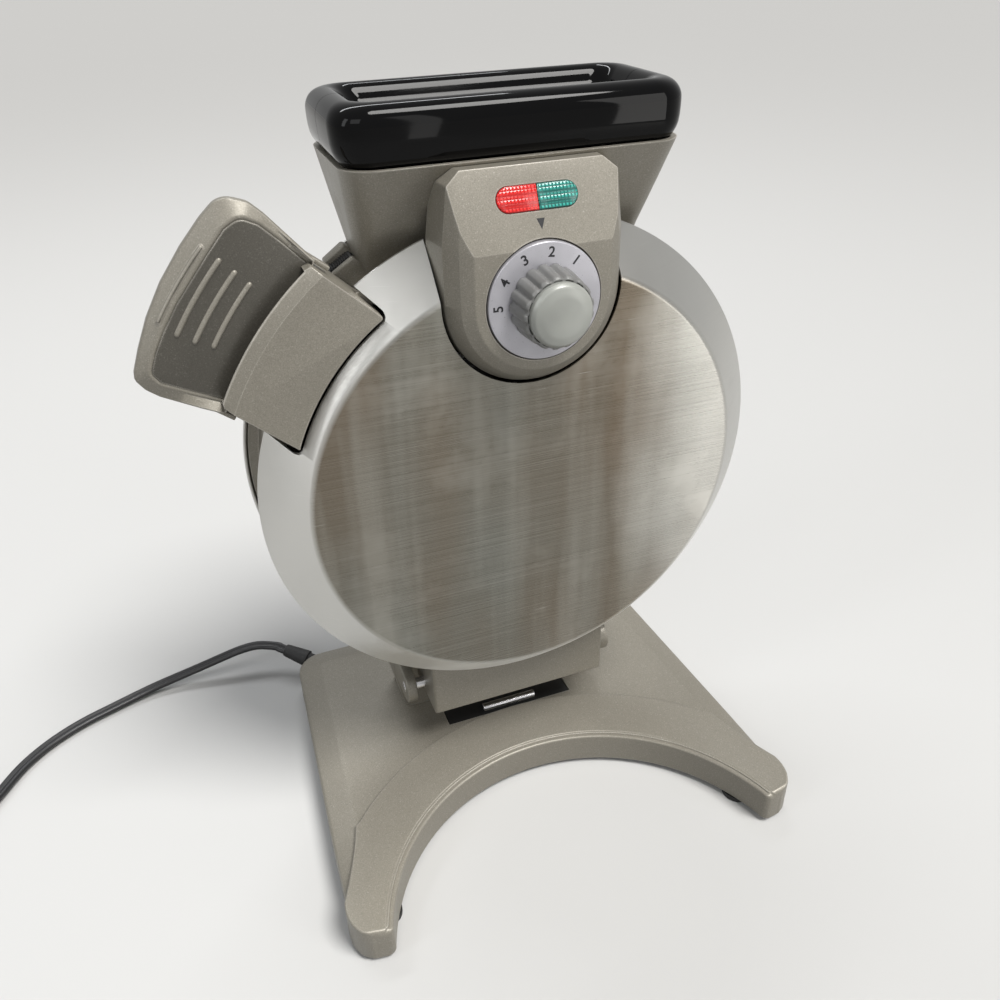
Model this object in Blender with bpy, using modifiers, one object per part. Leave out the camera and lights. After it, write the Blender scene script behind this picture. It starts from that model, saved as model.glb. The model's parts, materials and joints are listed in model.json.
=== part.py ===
"""Vertical waffle maker: two round halves that stand on edge and open forward on a hinge in their foot.

Metres, +Z up. Until the last step the model is built round x = 0 at the middle of the round halves,
y = 0 at the plane where they part, with the front at -y, and z = 0 at the table. The last step moves
the whole of it so that the middle of its footprint, without the lead, is the origin.
"""
import math

import bmesh
import bpy
from mathutils import Matrix, Vector

# Walls and clearances shared by many pieces
touch = 0.0003
steel_skin = 0.001
wall_bulge = 0.0004
plastic_wall = 0.0025
overrun = 0.010
weld = 0.00001
half_turn = math.pi
quarter_turn = math.pi / 2
along_x = (0, quarter_turn, 0)
facing_front = (quarter_turn, 0, 0)
facing_rear = (-quarter_turn, 0, 0)

# Driving sizes of the round halves
hinge_height = 0.052
rim_rise = 0.017
rim_radius = 0.115
rim_overhang = 0.007
frame_width = 0.0113
wall_draw = 0.0186
rim_offset = 0.0214
face_offset = 0.0392
face_round = 0.003
disc_height = hinge_height + rim_rise + rim_radius
face_radius = rim_radius - wall_draw
frame_radius = rim_radius - rim_overhang
plate_radius = frame_radius - frame_width

# Driving sizes of the stand
foot_height = 0.0025
base_height = 0.0203
base_edge_height = 0.0173
base_bevel = 0.0125
base_rear = 0.0836
base_corner = 0.015
horn_width = 0.0156
rear_draw = 0.0082
horn_corner_y = -0.0914
horn_tip_y = -0.1114
bay_radius = 0.100
bay_centre_y = -0.136
crescent_outer_radius = 0.129
crescent_rise = 0.0028
crescent_end_y = -0.0504
hinge_pin_radius = 0.003
block_half_width = 0.047
block_drop = 0.006
cheek_inner = 0.0523
cheek_outer = 0.058
horn_tip_x = math.sqrt(bay_radius**2 - (horn_tip_y - bay_centre_y) ** 2)
horn_corner_half_width = horn_tip_x + horn_width
base_rear_half_width = horn_corner_half_width - rear_draw

# Driving sizes of the neck and the funnel
neck_rise = 0.022
neck_height = 0.049
neck_half_width = 0.0695
neck_half_depth = 0.0324
neck_corner = 0.013
neck_foot_half_width = 0.058
neck_foot_half_depth = 0.0055
neck_foot_corner = 0.005
funnel_height = 0.021
funnel_half_width = 0.071
funnel_half_depth = 0.0306
funnel_corner = 0.0125
chute_half_width = 0.0240
chute_half_depth = 0.0085
chute_corner = 0.0035
chute_wall = 0.0020
neck_top = disc_height + rim_radius + neck_rise
rim_height = neck_top + funnel_height

# Driving sizes of the controls
dial_drop = 0.049
dial_radius = 0.0228
crease_rise = 0.0197
housing_rise = 0.0476
lens_rise = 0.0355
housing_half_width = 0.036
housing_back_half_width = 0.0375
housing_back = -0.0240
housing_chamfer_half_width = 0.0318
housing_chamfer = -0.0457
housing_front_half_width = 0.0273
housing_front = -0.0494
housing_top_y = -0.0374
facet_step = 0.0006
top_draw_share = 0.93
recess_depth = 0.0030
thermostat_shaft_radius = 0.0030
dial_height = neck_top - dial_drop
crease_height = dial_height + crease_rise
housing_top = dial_height + housing_rise
lens_height = dial_height + lens_rise

# Driving sizes of the handle, in its own directions: out from the disc, across, and through
handle_angle = math.radians(141.1)
cover_lap = 0.005
cover_length = 0.032
cover_half_in = 0.0313
cover_half_out = 0.0310
cover_front = -0.0345
cover_step = -0.0318
cover_back = -0.0140
paddle_gap = 0.0014
paddle_length = 0.0342
paddle_half_width = 0.0386
paddle_thickness = 0.0055
paddle_front = -0.0290
paddle_slant = 0.0040
pin_out = 0.008
pin_y = -0.0240
pin_radius = 0.0020
bracket_thickness = 0.0016
bracket_front = -0.0290
bracket_back = -0.0080
hook_thickness = 0.0030
hook_half_width = 0.0060
latch_gap = 0.0013
root_step = 0.0012
root_depth = 0.0083
cover_inner_radius = frame_radius - cover_lap
cover_outer_radius = cover_inner_radius + cover_length
paddle_inner = cover_outer_radius + paddle_gap
paddle_reach = paddle_inner + paddle_length
pin_reach = frame_radius + pin_out
bracket_inner = frame_radius + touch
bracket_outer = bracket_inner + bracket_thickness
hook_inner = bracket_outer + latch_gap
hook_outer = hook_inner + hook_thickness

# Driving sizes of the frames, the plates and what is behind them
flange_thickness = 0.0020
ring_low = 0.0025
bezel_thickness = 0.0025
element_radius = 0.0032
plate_rim = 0.0047
shield_inset = 0.0107
post_inset = 0.0100
element_inset = 0.0140
plate_back = 0.0140
shield_low = 0.0220
shield_thickness = 0.0008

# Driving sizes of the lead
cord_radius = 0.0032
coil_pitch = 0.0069
coil_outer = 0.0410
coil_turns = 3.5
coil_start_angle = math.radians(-34)
coil_centre = Vector((-0.3240, 0.0468, 0))
coil_low = 0.00435
loop_points = 24

# Sizes that follow from those above
flange_low = rim_offset + touch
flange_high = flange_low + flange_thickness
bezel_high = ring_low + bezel_thickness
element_offset = plate_back + touch + element_radius
shield_radius = plate_radius - shield_inset
post_ring = shield_radius - post_inset
element_ring = post_ring - element_inset

# Shares of the sizes above
horn_step_share = 0.35
tip_flat_share = 0.12
bulge_share = 0.6
neck_shares = ((0, 0, 0, 0), (0.348, 0.2565, 0.375, 0.2653), (0.696, 0.6506, 0.75, 0.6429), (1, 1, 1, 1))
funnel_shares = (
    (0.9465, 0.9477, 0.80, 0),
    (0.9930, 1, 0.96, 0.29),
    (1, 0.9935, 1, 0.662),
    (0.9760, 0.9477, 0.96, 0.879),
    (0.9225, 0.8333, 0.80, 0.990),
    (0.8592, 0.7026, 0.68, 1),
    (0.8099, 0.6144, 0.60, 0.903),
    (0.7606, 0.5556, 0.56, 0.710),
)
funnel_floor_share = 0.203
paddle_middle_share = 0.35
paddle_outer_shares = (
    (0.988, -0.031),
    (1, 0.350),
    (0.980, 0.658),
    (0.944, 0.863),
    (0.854, 0.972),
    (0.702, 1),
    (0.477, 0.997),
)
paddle_lower_shares = (
    (0.439, -0.992),
    (0.596, -1),
    (0.719, -0.964),
    (0.787, -0.868),
    (0.854, -0.681),
    (0.936, -0.386),
)
panel_shares = (
    (0.199, 0.881),
    (0.497, 0.896),
    (0.670, 0.860),
    (0.757, 0.725),
    (0.792, 0.427),
    (0.801, -0.052),
    (0.778, -0.389),
    (0.734, -0.609),
    (0.667, -0.772),
    (0.567, -0.845),
    (0.412, -0.850),
    (0.208, -0.816),
)
panel_side_share = 0.79
foot_shares = {"front": (0.920, 0.963), "rear": (0.815, 0.778)}
screw_shares = {"front": (0.767, 0.383), "rear": (0.623, 0.598)}
rib_shares = (0.2485, 0.4327, 0.6199)
relief_shares = (0.867, 0.967)
terminal_shares = (0.690, 0.766)
lead_names = (
    "strain_relief",
    "power_cord",
    "cord_coil",
    "cord_tie",
    "plug_body",
    "plug_blade_left",
    "plug_blade_right",
)

for old in list(bpy.data.objects):
    bpy.data.objects.remove(old)

parts = bpy.data.collections.new("vertical_waffle_maker")
cutters = bpy.data.collections.new("cutters")
bpy.context.scene.collection.children.link(parts)
bpy.context.scene.collection.children.link(cutters)
cutters.hide_render = True


def finish(name, colour, roughness, metallic):
    made = bpy.data.materials.new(name)
    made.use_nodes = True
    shader = made.node_tree.nodes["Principled BSDF"]
    shader.inputs["Base Color"].default_value = (*colour, 1)
    shader.inputs["Roughness"].default_value = roughness
    shader.inputs["Metallic"].default_value = metallic
    made.diffuse_color = (*colour, 1)
    return made


taupe = finish("taupe_plastic", (0.21, 0.19, 0.15), 0.45, 0.3)
brushed_steel = finish("brushed_steel", (0.62, 0.60, 0.56), 0.28, 1)
black_gloss = finish("black_gloss", (0.006, 0.006, 0.007), 0.06, 0)
black_plastic = finish("black_plastic", (0.012, 0.012, 0.012), 0.5, 0)
black_rubber = finish("black_rubber", (0.010, 0.010, 0.010), 0.8, 0)
cast_metal = finish("dark_cast_metal", (0.05, 0.05, 0.052), 0.5, 0.6)
plain_metal = finish("plain_metal", (0.55, 0.55, 0.56), 0.3, 1)
dial_silver = finish("dial_silver", (0.60, 0.60, 0.66), 0.35, 0.6)
knob_grey = finish("knob_grey", (0.20, 0.20, 0.19), 0.45, 0.1)
cap_grey = finish("cap_grey", (0.45, 0.46, 0.42), 0.35, 0.1)
red_plastic = finish("red_lens", (0.75, 0.02, 0.02), 0.15, 0)
green_plastic = finish("green_lens", (0.02, 0.30, 0.26), 0.15, 0)
ceramic = finish("ceramic", (0.75, 0.72, 0.66), 0.6, 0)

# The empties: one for each body, on the axis that it turns about
root = bpy.data.objects.new("stand", None)
parts.objects.link(root)
root_place = Vector((0, 0, 0))


def body_empty(name, place, above, above_place):
    empty = bpy.data.objects.new(name, None)
    parts.objects.link(empty)
    empty.parent = above
    empty.location = place - above_place
    return empty


handle_out = Vector((math.cos(handle_angle), 0, math.sin(handle_angle)))
handle_across = Vector((math.sin(handle_angle), 0, -math.cos(handle_angle)))
disc_centre = Vector((0, 0, disc_height))
hinge_place = Vector((0, 0, hinge_height))
dial_place = Vector((0, housing_front, dial_height))
pin_place = disc_centre + handle_out * pin_reach + Vector((0, pin_y, 0))
front_half = body_empty("front_half", hinge_place, root, root_place)
knob_body = body_empty("knob_body", dial_place, front_half, hinge_place)
paddle_body = body_empty("paddle_body", pin_place, front_half, hinge_place)
places = {root: root_place, front_half: hinge_place, knob_body: dial_place, paddle_body: pin_place}


def add(name, data, colour, body=root, place=(0, 0, 0), turn=(0, 0, 0)):
    """Adds an object. Its place is in the model's frame. Without a colour it is a cutter."""
    made = bpy.data.objects.new(name, data)
    if colour:
        parts.objects.link(made)
        data.materials.append(colour)
    else:
        cutters.objects.link(made)
        made.hide_render = True
        made.display_type = "WIRE"
    made.parent = body
    made.location = Vector(place) - places[body]
    made.rotation_euler = turn
    return made


def boolean(target, other, operation="DIFFERENCE"):
    modifier = target.modifiers.new(operation.title(), "BOOLEAN")
    modifier.operation = operation
    modifier.object = other
    return target


def rounded(target, width, segments=2, sharp_degrees=40):
    bevel = target.modifiers.new("Round", "BEVEL")
    bevel.width = width
    bevel.segments = segments
    bevel.limit_method = "ANGLE"
    bevel.angle_limit = math.radians(sharp_degrees)
    return target


def mesh_from(name, shape):
    mesh = bpy.data.meshes.new(name)
    bmesh.ops.recalc_face_normals(shape, faces=shape.faces)
    shape.to_mesh(mesh)
    shape.free()
    return mesh


def box(name, low, high, colour=None, body=root, turn=(0, 0, 0)):
    low, high = Vector(low), Vector(high)
    shape = bmesh.new()
    bmesh.ops.create_cube(shape, size=1)
    bmesh.ops.scale(shape, vec=high - low, verts=shape.verts)
    return add(name, mesh_from(name, shape), colour, body, (low + high) / 2, turn)


def rod(name, radius, length, place, turn=(0, 0, 0), colour=None, body=root, sides=24, end_radius=None):
    """A cylinder or cone centred on its place, along local Z."""
    shape = bmesh.new()
    end_radius = radius if end_radius is None else end_radius
    bmesh.ops.create_cone(
        shape, cap_ends=True, segments=sides, radius1=radius, radius2=end_radius, depth=length
    )
    made = add(name, mesh_from(name, shape), colour, body, place, turn)
    if colour:
        made.data.shade_smooth()
        made.data.set_sharp_from_angle(angle=math.radians(40))
    return made


def turned(name, profile, colour=None, body=root, place=disc_centre, turn=facing_front, shut=True, steps=64):
    """A profile of (radius, height) points, outer side from the top down, turned about local Z."""
    mesh = bpy.data.meshes.new(name)
    edges = [(i, i + 1) for i in range(len(profile) - 1)]
    if shut:
        edges.append((len(profile) - 1, 0))
    mesh.from_pydata([(radius, 0, height) for radius, height in profile], edges, [])
    made = add(name, mesh, colour, body, place, turn)
    screw = made.modifiers.new("Turn", "SCREW")
    screw.steps = steps
    screw.render_steps = steps
    screw.use_merge_vertices = True
    screw.merge_threshold = weld
    return made


def evaluated_mesh(name, source):
    """The mesh of a curve object, with its caps welded, and the curve taken away."""
    bpy.context.view_layer.update()
    graph = bpy.context.evaluated_depsgraph_get()
    mesh = bpy.data.meshes.new_from_object(source.evaluated_get(graph))
    shape = bmesh.new()
    shape.from_mesh(mesh)
    bmesh.ops.remove_doubles(shape, verts=shape.verts, dist=weld)
    shape.to_mesh(mesh)
    shape.free()
    mesh.name = name
    mesh.materials.clear()
    bpy.data.objects.remove(source)
    return mesh


def plate(name, outline, low, high, turn=(0, 0, 0), place=(0, 0, 0), colour=None, body=root):
    """A flat outline in local X and Y, from low to high along local Z."""
    curve = bpy.data.curves.new(name, "CURVE")
    curve.dimensions = "2D"
    curve.fill_mode = "BOTH"
    curve.extrude = (high - low) / 2
    spline = curve.splines.new("POLY")
    spline.points.add(len(outline) - 1)
    for point, (across, up) in zip(spline.points, outline):
        point.co = (across, up, 0, 1)
    spline.use_cyclic_u = True
    mesh = evaluated_mesh(name, add(name + "_outline", curve, None))
    mesh.transform(Matrix.Translation((0, 0, (low + high) / 2)))
    return add(name, mesh, colour, body, place, turn)


def tube(name, points, radius, colour, body=root, resolution=2):
    curve = bpy.data.curves.new(name, "CURVE")
    curve.dimensions = "3D"
    curve.bevel_depth = radius
    curve.bevel_resolution = resolution
    curve.use_fill_caps = True
    spline = curve.splines.new("POLY")
    spline.points.add(len(points) - 1)
    for point, place in zip(spline.points, points):
        point.co = (*place, 1)
    return add(name, evaluated_mesh(name, add(name + "_line", curve, None)), colour, body)


def loft(name, loops, colour=None, body=root, ring=False):
    """Quads between loops of equal count. The ends are closed, or the last loop meets the first."""
    shape = bmesh.new()
    rows = [[shape.verts.new(point) for point in loop] for loop in loops]
    pairs = list(zip(rows, rows[1:]))
    if ring:
        pairs.append((rows[-1], rows[0]))
    else:
        shape.faces.new(rows[0])
        shape.faces.new(rows[-1])
    for below, above in pairs:
        for i in range(len(below)):
            j = (i + 1) % len(below)
            shape.faces.new((below[i], below[j], above[j], above[i]))
    return add(name, mesh_from(name, shape), colour, body)


def arc(centre, radius, start, end, steps):
    """Points on an arc, angles in degrees."""
    angles = [math.radians(start + (end - start) * i / steps) for i in range(steps + 1)]
    return [(centre[0] + radius * math.cos(a), centre[1] + radius * math.sin(a)) for a in angles]


def rounded_rectangle(half_width, half_depth, corner, height, steps=5):
    loop = []
    for i, (side, end) in enumerate(((1, 1), (-1, 1), (-1, -1), (1, -1))):
        centre = (side * (half_width - corner), end * (half_depth - corner))
        loop += arc(centre, corner, 90 * i, 90 * i + 90, steps)
    return [(x, y, height) for x, y in loop]


def mirrored(half):
    """An outline from its points on the right, which run from the middle round to the middle."""
    left = [(-across, up) for across, up in reversed(half) if abs(across) > weld]
    return list(half) + left


def handle_turn():
    """Local X out from the disc, local Y across the handle, local Z to the rear."""
    columns = Matrix((handle_out, handle_across, Vector((0, 1, 0)))).transposed()
    return columns.to_euler()


def half_disc(name, body, turn):
    """A cutter for the room that one half takes: steel shell, and the narrower frame behind it."""
    wall_gap = touch + wall_bulge
    profile = [
        (0, face_offset + touch),
        (face_radius + wall_gap, face_offset + touch),
        (rim_radius + wall_gap, rim_offset + wall_bulge),
        (rim_radius + wall_gap, rim_offset - steel_skin),
        (frame_radius + touch, rim_offset - steel_skin),
        (frame_radius + touch, -overrun),
        (0, -overrun),
    ]
    return turned(name, profile, body=body, turn=turn, shut=False, steps=72)


def base_outline(inset, bay_inset=None):
    """The foot seen from above: straight sides, a round bay in front between two horns.

    The sides and the rear draw in by one inset, and the bay and the horns by their own.
    """
    bay_inset = inset if bay_inset is None else bay_inset
    slope = (horn_corner_half_width - base_rear_half_width) / (base_rear - horn_corner_y)
    rear = base_rear - inset
    corner = max(base_corner - inset, base_corner / 3)
    bay = bay_radius + bay_inset
    tip_y = horn_tip_y + bay_inset
    tip_angle = math.degrees(math.asin((tip_y - bay_centre_y) / bay))
    tip_x = bay * math.cos(math.radians(tip_angle))
    horn_x = horn_corner_half_width - bay_inset
    horn_y = horn_corner_y + bay_inset * horn_step_share
    half = [(0, bay_centre_y + bay)]
    half += arc((0, bay_centre_y), bay, 90 - 90 / 12, tip_angle, 11)
    half += [(tip_x + (horn_x - tip_x) * tip_flat_share, tip_y), (horn_x, horn_y)]
    for share, y in ((bulge_share, (horn_y + crescent_end_y) / 2), (1, crescent_end_y)):
        side = base_rear_half_width + slope * (base_rear - y)
        half.append((side - bay_inset - (inset - bay_inset) * share, y))
    side_at_corner = base_rear_half_width + slope * corner - inset
    half += arc((side_at_corner - corner, rear - corner), corner, 0, 90, 6)
    half.append((0, rear))
    return mirrored(half)


def crescent_sections(inset, low):
    """Sections across the raised band round the bay, from one horn's tip to the other's."""
    foot = base_outline(base_bevel, inset)
    arc_points = 12
    inner, outer_end = foot[: arc_points + 1], foot[arc_points + 1 : arc_points + 5]
    end_x, end_y = outer_end[-1]
    end_angle = math.degrees(math.atan2(end_y - bay_centre_y, end_x))
    outer = arc((0, bay_centre_y), crescent_outer_radius, 90, end_angle, arc_points - 3)
    outer += reversed(outer_end[:-1])

    def top(x, y):
        reach = math.hypot(x, y - bay_centre_y) - bay_radius
        return base_height + crescent_rise * reach / (crescent_outer_radius - bay_radius)

    half = []
    for (x, y), (far_x, far_y) in zip(inner, outer):
        half.append([(x, y, low), (x, y, top(x, y)), (far_x, far_y, top(far_x, far_y)), (far_x, far_y, low)])
    other = [[(-x, y, z) for x, y, z in section] for section in half[1:]]
    return list(reversed(other)) + half


def base_spots(kind, shares):
    """Names and places of four small pieces under the foot, as shares of its width and of its ends."""
    made = []
    for end, (across, along) in shares.items():
        reach = horn_corner_y if end == "front" else base_rear
        for side, sign in (("left", -1), ("right", 1)):
            made.append((f"{kind}_{end}_{side}", (sign * across * base_rear_half_width, along * reach)))
    return made


def build_base():
    wall = plastic_wall
    cavity_top = 0.0150
    crescent_low = 0.0080
    cradle_depth = 0.0036
    boss_radius = 0.0040
    screw_radius = 0.0015
    screw_head_radius = 0.0030
    screw_head = 0.0011
    floor_low = foot_height + touch
    floor_high = floor_low + 0.8 * wall
    skin_inset = 0.0002

    levels = ((0, 0, foot_height), (0, 0, base_edge_height), (base_bevel, skin_inset, base_height))
    body = loft("base_shell", [[(x, y, z) for x, y in base_outline(i, j)] for i, j, z in levels], taupe)

    crescent = loft("crescent", crescent_sections(3 * skin_inset, crescent_low))
    boolean(body, crescent, "UNION")

    boolean(body, plate("base_hollow", base_outline(wall), -overrun, cavity_top))

    recess_half_width = 0.0360
    recess_front = -0.0054
    recess_rear = 0.0096
    recess_floor = base_height - cradle_depth
    boolean(
        body,
        box(
            "bar_recess",
            (-recess_half_width, recess_front, recess_floor),
            (recess_half_width, recess_rear, base_height + overrun),
        ),
    )
    cradle_top = base_height - 2 * touch
    box(
        "bar_cradle",
        (-recess_half_width + touch, recess_front + touch, recess_floor + touch),
        (recess_half_width - touch, recess_rear - touch, cradle_top),
        black_plastic,
    )
    bar_radius = 0.0023
    bar_half_length = 0.0153
    bar_y = -0.0020
    rod(
        "base_cross_bar",
        bar_radius,
        2 * bar_half_length,
        (0, bar_y, cradle_top + touch + bar_radius),
        along_x,
        plain_metal,
        sides=20,
    )

    inside = wall + touch
    floor = plate("base_floor", base_outline(inside), floor_low, floor_high, colour=black_plastic)
    foot_radius = 0.0080
    for name, (x, y) in base_spots("foot", foot_shares):
        rod(name, foot_radius, foot_height, (x, y, foot_height / 2), colour=black_rubber)
    screw_hole = screw_radius + touch
    shank_top = cavity_top - 2 * wall
    boss_low = floor_high + touch
    boss_high = cavity_top + wall / 2
    middle = (boss_low + boss_high) / 2
    for name, (x, y) in base_spots("base_screw", screw_shares):
        boss = rod(name + "_boss", boss_radius, boss_high - boss_low, (x, y, middle), sides=16)
        boolean(body, boss, "UNION")
        hole_length = 2 * (shank_top + touch)
        hole = rod(name + "_hole", screw_hole, hole_length, (x, y, 0), sides=12)
        boolean(body, hole)
        boolean(floor, hole)
        head_high = floor_low - touch
        head_low = head_high - screw_head
        turned(
            name,
            [
                (0, shank_top),
                (screw_radius, shank_top),
                (screw_radius, head_high),
                (screw_head_radius, head_high),
                (screw_head_radius, head_low),
                (0, head_low),
            ],
            plain_metal,
            place=(x, y, 0),
            turn=(0, 0, 0),
            shut=False,
            steps=12,
        )
    return body


def build_pedestal():
    """A column under the rear half, with two cheeks that carry the hinge pin."""
    foot_half_width = 0.0540
    front = 0.0165
    rear = 0.0460
    shoulder_drop = 0.0100
    shoulder_height = hinge_height - shoulder_drop
    column_rise = 0.0480
    corner = 0.0050
    cheek_radius = 0.0085
    top = hinge_height + column_rise
    cheek_joint = front + corner
    cheek_low = hinge_height - cheek_radius
    low = base_height + touch

    def level(half_width, height):
        loop = rounded_rectangle(half_width, (rear - front) / 2, corner, height, 3)
        return [(x, y + (rear + front) / 2, z) for x, y, z in loop]

    column = loft(
        "pedestal",
        [level(foot_half_width, low), level(cheek_outer, shoulder_height), level(cheek_outer, top)],
        taupe,
    )
    cheek = arc((0, hinge_height), cheek_radius, 90, 270, 10)
    cheek += [(cheek_joint, cheek_low), (cheek_joint, hinge_height + cheek_radius)]
    across = (quarter_turn, 0, quarter_turn)
    for name, low_x, high_x in (
        ("cheek_left", -cheek_outer + touch, -cheek_inner),
        ("cheek_right", cheek_inner, cheek_outer - touch),
    ):
        boolean(column, plate(name, cheek, low_x, high_x, across), "UNION")
    pin_hole = rod("pedestal_pin_hole", hinge_pin_radius + touch, 3 * cheek_outer, hinge_place, along_x)
    boolean(column, pin_hole)
    boolean(column, half_disc("rear_half_room", root, facing_rear))
    rod(
        "hinge_pin",
        hinge_pin_radius,
        2 * cheek_outer,
        hinge_place,
        along_x,
        plain_metal,
        sides=16,
    )


def shell_radius(offset):
    """Outer radius of the steel shell's tapered wall at a distance from the parting plane."""
    share = (offset - rim_offset) / (face_offset - rim_offset)
    return rim_radius + (face_radius - rim_radius) * share


def build_shell(name, body, turn):
    edge = face_radius - face_round
    profile = [(0, face_offset)]
    profile += [
        (edge + face_round * math.sin(a), face_offset - face_round * (1 - math.cos(a)))
        for a in (0, quarter_turn / 3, 2 * quarter_turn / 3)
    ]
    profile.append((shell_radius(face_offset - face_round), face_offset - face_round))
    profile.append((shell_radius((face_offset + rim_offset) / 2) + wall_bulge, (face_offset + rim_offset) / 2))
    profile.append((rim_radius, rim_offset))
    shell = turned(name, profile, brushed_steel, body, turn=turn, shut=False, steps=72)
    wall = shell.modifiers.new("Wall", "SOLIDIFY")
    wall.thickness = steel_skin
    wall.offset = -1
    return shell


def build_frame(name, body, turn, side):
    """The recessed ring between rim and parting plane. Its flange carries the shell, its bezel the plate."""
    bezel_radius = plate_radius + touch
    inner = frame_radius - plastic_wall
    edge_gap = 2 * steel_skin
    profile = [
        (shell_radius(flange_high) - edge_gap, flange_high),
        (shell_radius(flange_low) - edge_gap, flange_low),
        (frame_radius, flange_low),
        (frame_radius, ring_low),
        (bezel_radius, ring_low),
        (bezel_radius, bezel_high),
        (inner, bezel_high),
        (inner, flange_high),
    ]
    frame = turned(name, profile, taupe, body, turn=turn, steps=72)
    shoulder_lap = 0.0080
    shoulder_reach = 0.0030
    shoulder_inner = frame_radius - shoulder_lap
    shoulder_outer = rim_radius + shoulder_reach
    shoulder_width = 0.0075
    shoulder_near = cover_half_in + 4 * touch
    shoulder_far = shoulder_near + shoulder_width
    outline = [
        (shoulder_inner, shoulder_near),
        (shoulder_outer, shoulder_near),
        (shoulder_outer, shoulder_far),
        (shoulder_inner, shoulder_far),
    ]
    low, high = sorted((side * (ring_low + touch), side * (rim_offset - steel_skin)))
    shoulder = plate(name + "_shoulder", outline, low, high, handle_turn(), disc_centre, body=body)
    boolean(shoulder, loft(name + "_neck_room", neck_loops(touch), body=body))
    boolean(frame, shoulder, "UNION")
    slot_half_width = chute_half_width + touch
    slot_depth = chute_half_depth + touch
    boolean(
        frame,
        box(
            name + "_chute_slot",
            (-slot_half_width, -slot_depth, disc_height),
            (slot_half_width, slot_depth, neck_top),
            body=body,
        ),
    )
    return frame


def build_waffle_plate(name, body, turn, side):
    """A round cast plate with a rim, a grid of tapered pegs and posts for the heat shield."""
    rim_inner = plate_radius - plate_rim
    floor_offset = 0.0095
    lip_offset = touch
    post_radius = 0.0040
    peg_pitch = 0.0240
    peg_base = 0.0165
    peg_tip = 0.0125
    peg_height = 0.0070
    peg_root = 0.0010
    mouth_half_width = chute_half_width - plastic_wall
    profile = [
        (0, plate_back),
        (plate_radius, plate_back),
        (plate_radius, lip_offset),
        (rim_inner, lip_offset),
        (rim_inner, floor_offset),
        (0, floor_offset),
    ]
    casting = turned(name, profile, cast_metal, body, turn=turn, shut=False, steps=40)

    pegs = bmesh.new()
    reach = int(rim_inner / peg_pitch) + 1
    taper_turn = Matrix.Rotation(quarter_turn / 2, 4, "Z")
    for i in range(-reach, reach + 1):
        for j in range(-reach, reach + 1):
            x, z = (i + 0.5) * peg_pitch, (j + 0.5) * peg_pitch
            if math.hypot(abs(x) + peg_base / 2, abs(z) + peg_base / 2) > rim_inner:
                continue
            length = peg_height + peg_root
            middle = Matrix.Translation((x, z, floor_offset - peg_height + length / 2))
            bmesh.ops.create_cone(
                pegs,
                cap_ends=True,
                segments=4,
                radius1=peg_tip / math.sqrt(2),
                radius2=peg_base / math.sqrt(2),
                depth=length,
                matrix=middle @ taper_turn,
            )
    grid = add(name + "_pegs", mesh_from(name + "_pegs", pegs), None, body, disc_centre, turn)
    boolean(casting, grid, "UNION")

    post_length = shield_low - touch - plate_back + peg_root
    for i in range(3):
        angle = quarter_turn + half_turn + i * 2 * half_turn / 3
        place = disc_centre + Vector(
            (
                post_ring * math.cos(angle),
                side * (plate_back - peg_root + post_length / 2),
                post_ring * math.sin(angle),
            )
        )
        post = rod(f"{name}_post_{i}", post_radius, post_length, place, facing_front, body=body, sides=12)
        boolean(casting, post, "UNION")
    low, high = sorted((side * floor_offset, -side * overrun))
    boolean(
        casting,
        box(
            name + "_mouth",
            (-mouth_half_width, low, disc_height + plate_radius / 2),
            (mouth_half_width, high, neck_top),
            body=body,
        ),
    )

    open_angle = math.radians(40)
    steps = 22
    points = []
    for i in range(steps + 1):
        angle = quarter_turn + open_angle / 2 + (2 * half_turn - open_angle) * i / steps
        points.append(
            (
                element_ring * math.cos(angle),
                side * element_offset,
                disc_height + element_ring * math.sin(angle),
            )
        )
    tube(name.replace("waffle_plate", "heating_element"), points, element_radius, plain_metal, body, 1)
    shield = [(0, shield_low + shield_thickness), (shield_radius, shield_low + shield_thickness)]
    shield += [(shield_radius, shield_low), (0, shield_low)]
    turned(
        name.replace("waffle_plate", "heat_shield"),
        shield,
        plain_metal,
        body,
        turn=turn,
        shut=False,
        steps=48,
    )


def neck_sizes():
    """Half width, half depth, corner and height of the neck, from its foot to its top."""
    foot = (neck_foot_half_width, neck_foot_half_depth, neck_foot_corner, neck_top - neck_height)
    top = (neck_half_width, neck_half_depth, neck_corner, neck_top)
    return [tuple(low + (high - low) * share for low, high, share in zip(foot, top, row)) for row in neck_shares]


def neck_loops(grow, extra=0):
    """The neck seen from above at four heights, front and rear together."""
    sizes = neck_sizes()
    loops = [rounded_rectangle(w + grow, d + grow, c + min(grow, 0), z) for w, d, c, z in sizes]
    if extra:
        w, d, c, z = sizes[-1]
        loops.append(rounded_rectangle(w + grow, d + grow, c + min(grow, 0), z + extra))
    return loops


def funnel_loops():
    """A rounded tub from its underside up over the rim, down its sloping floor and round the chute."""
    low = neck_top + touch
    height = rim_height - low
    chute_low = disc_height + plate_radius + touch
    inner_width = chute_half_width - chute_wall
    inner_depth = chute_half_depth - chute_wall
    inner_corner = chute_corner - chute_wall / 2
    sizes = [
        (funnel_half_width * wide, funnel_half_depth * deep, funnel_corner * corner, low + height * up)
        for wide, deep, corner, up in funnel_shares
    ]
    sizes += [
        (inner_width, inner_depth, inner_corner, low + height * funnel_floor_share),
        (inner_width, inner_depth, inner_corner, chute_low),
        (chute_half_width, chute_half_depth, chute_corner, chute_low),
        (chute_half_width, chute_half_depth, chute_corner, low),
    ]
    return [rounded_rectangle(*row) for row in sizes]


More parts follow.
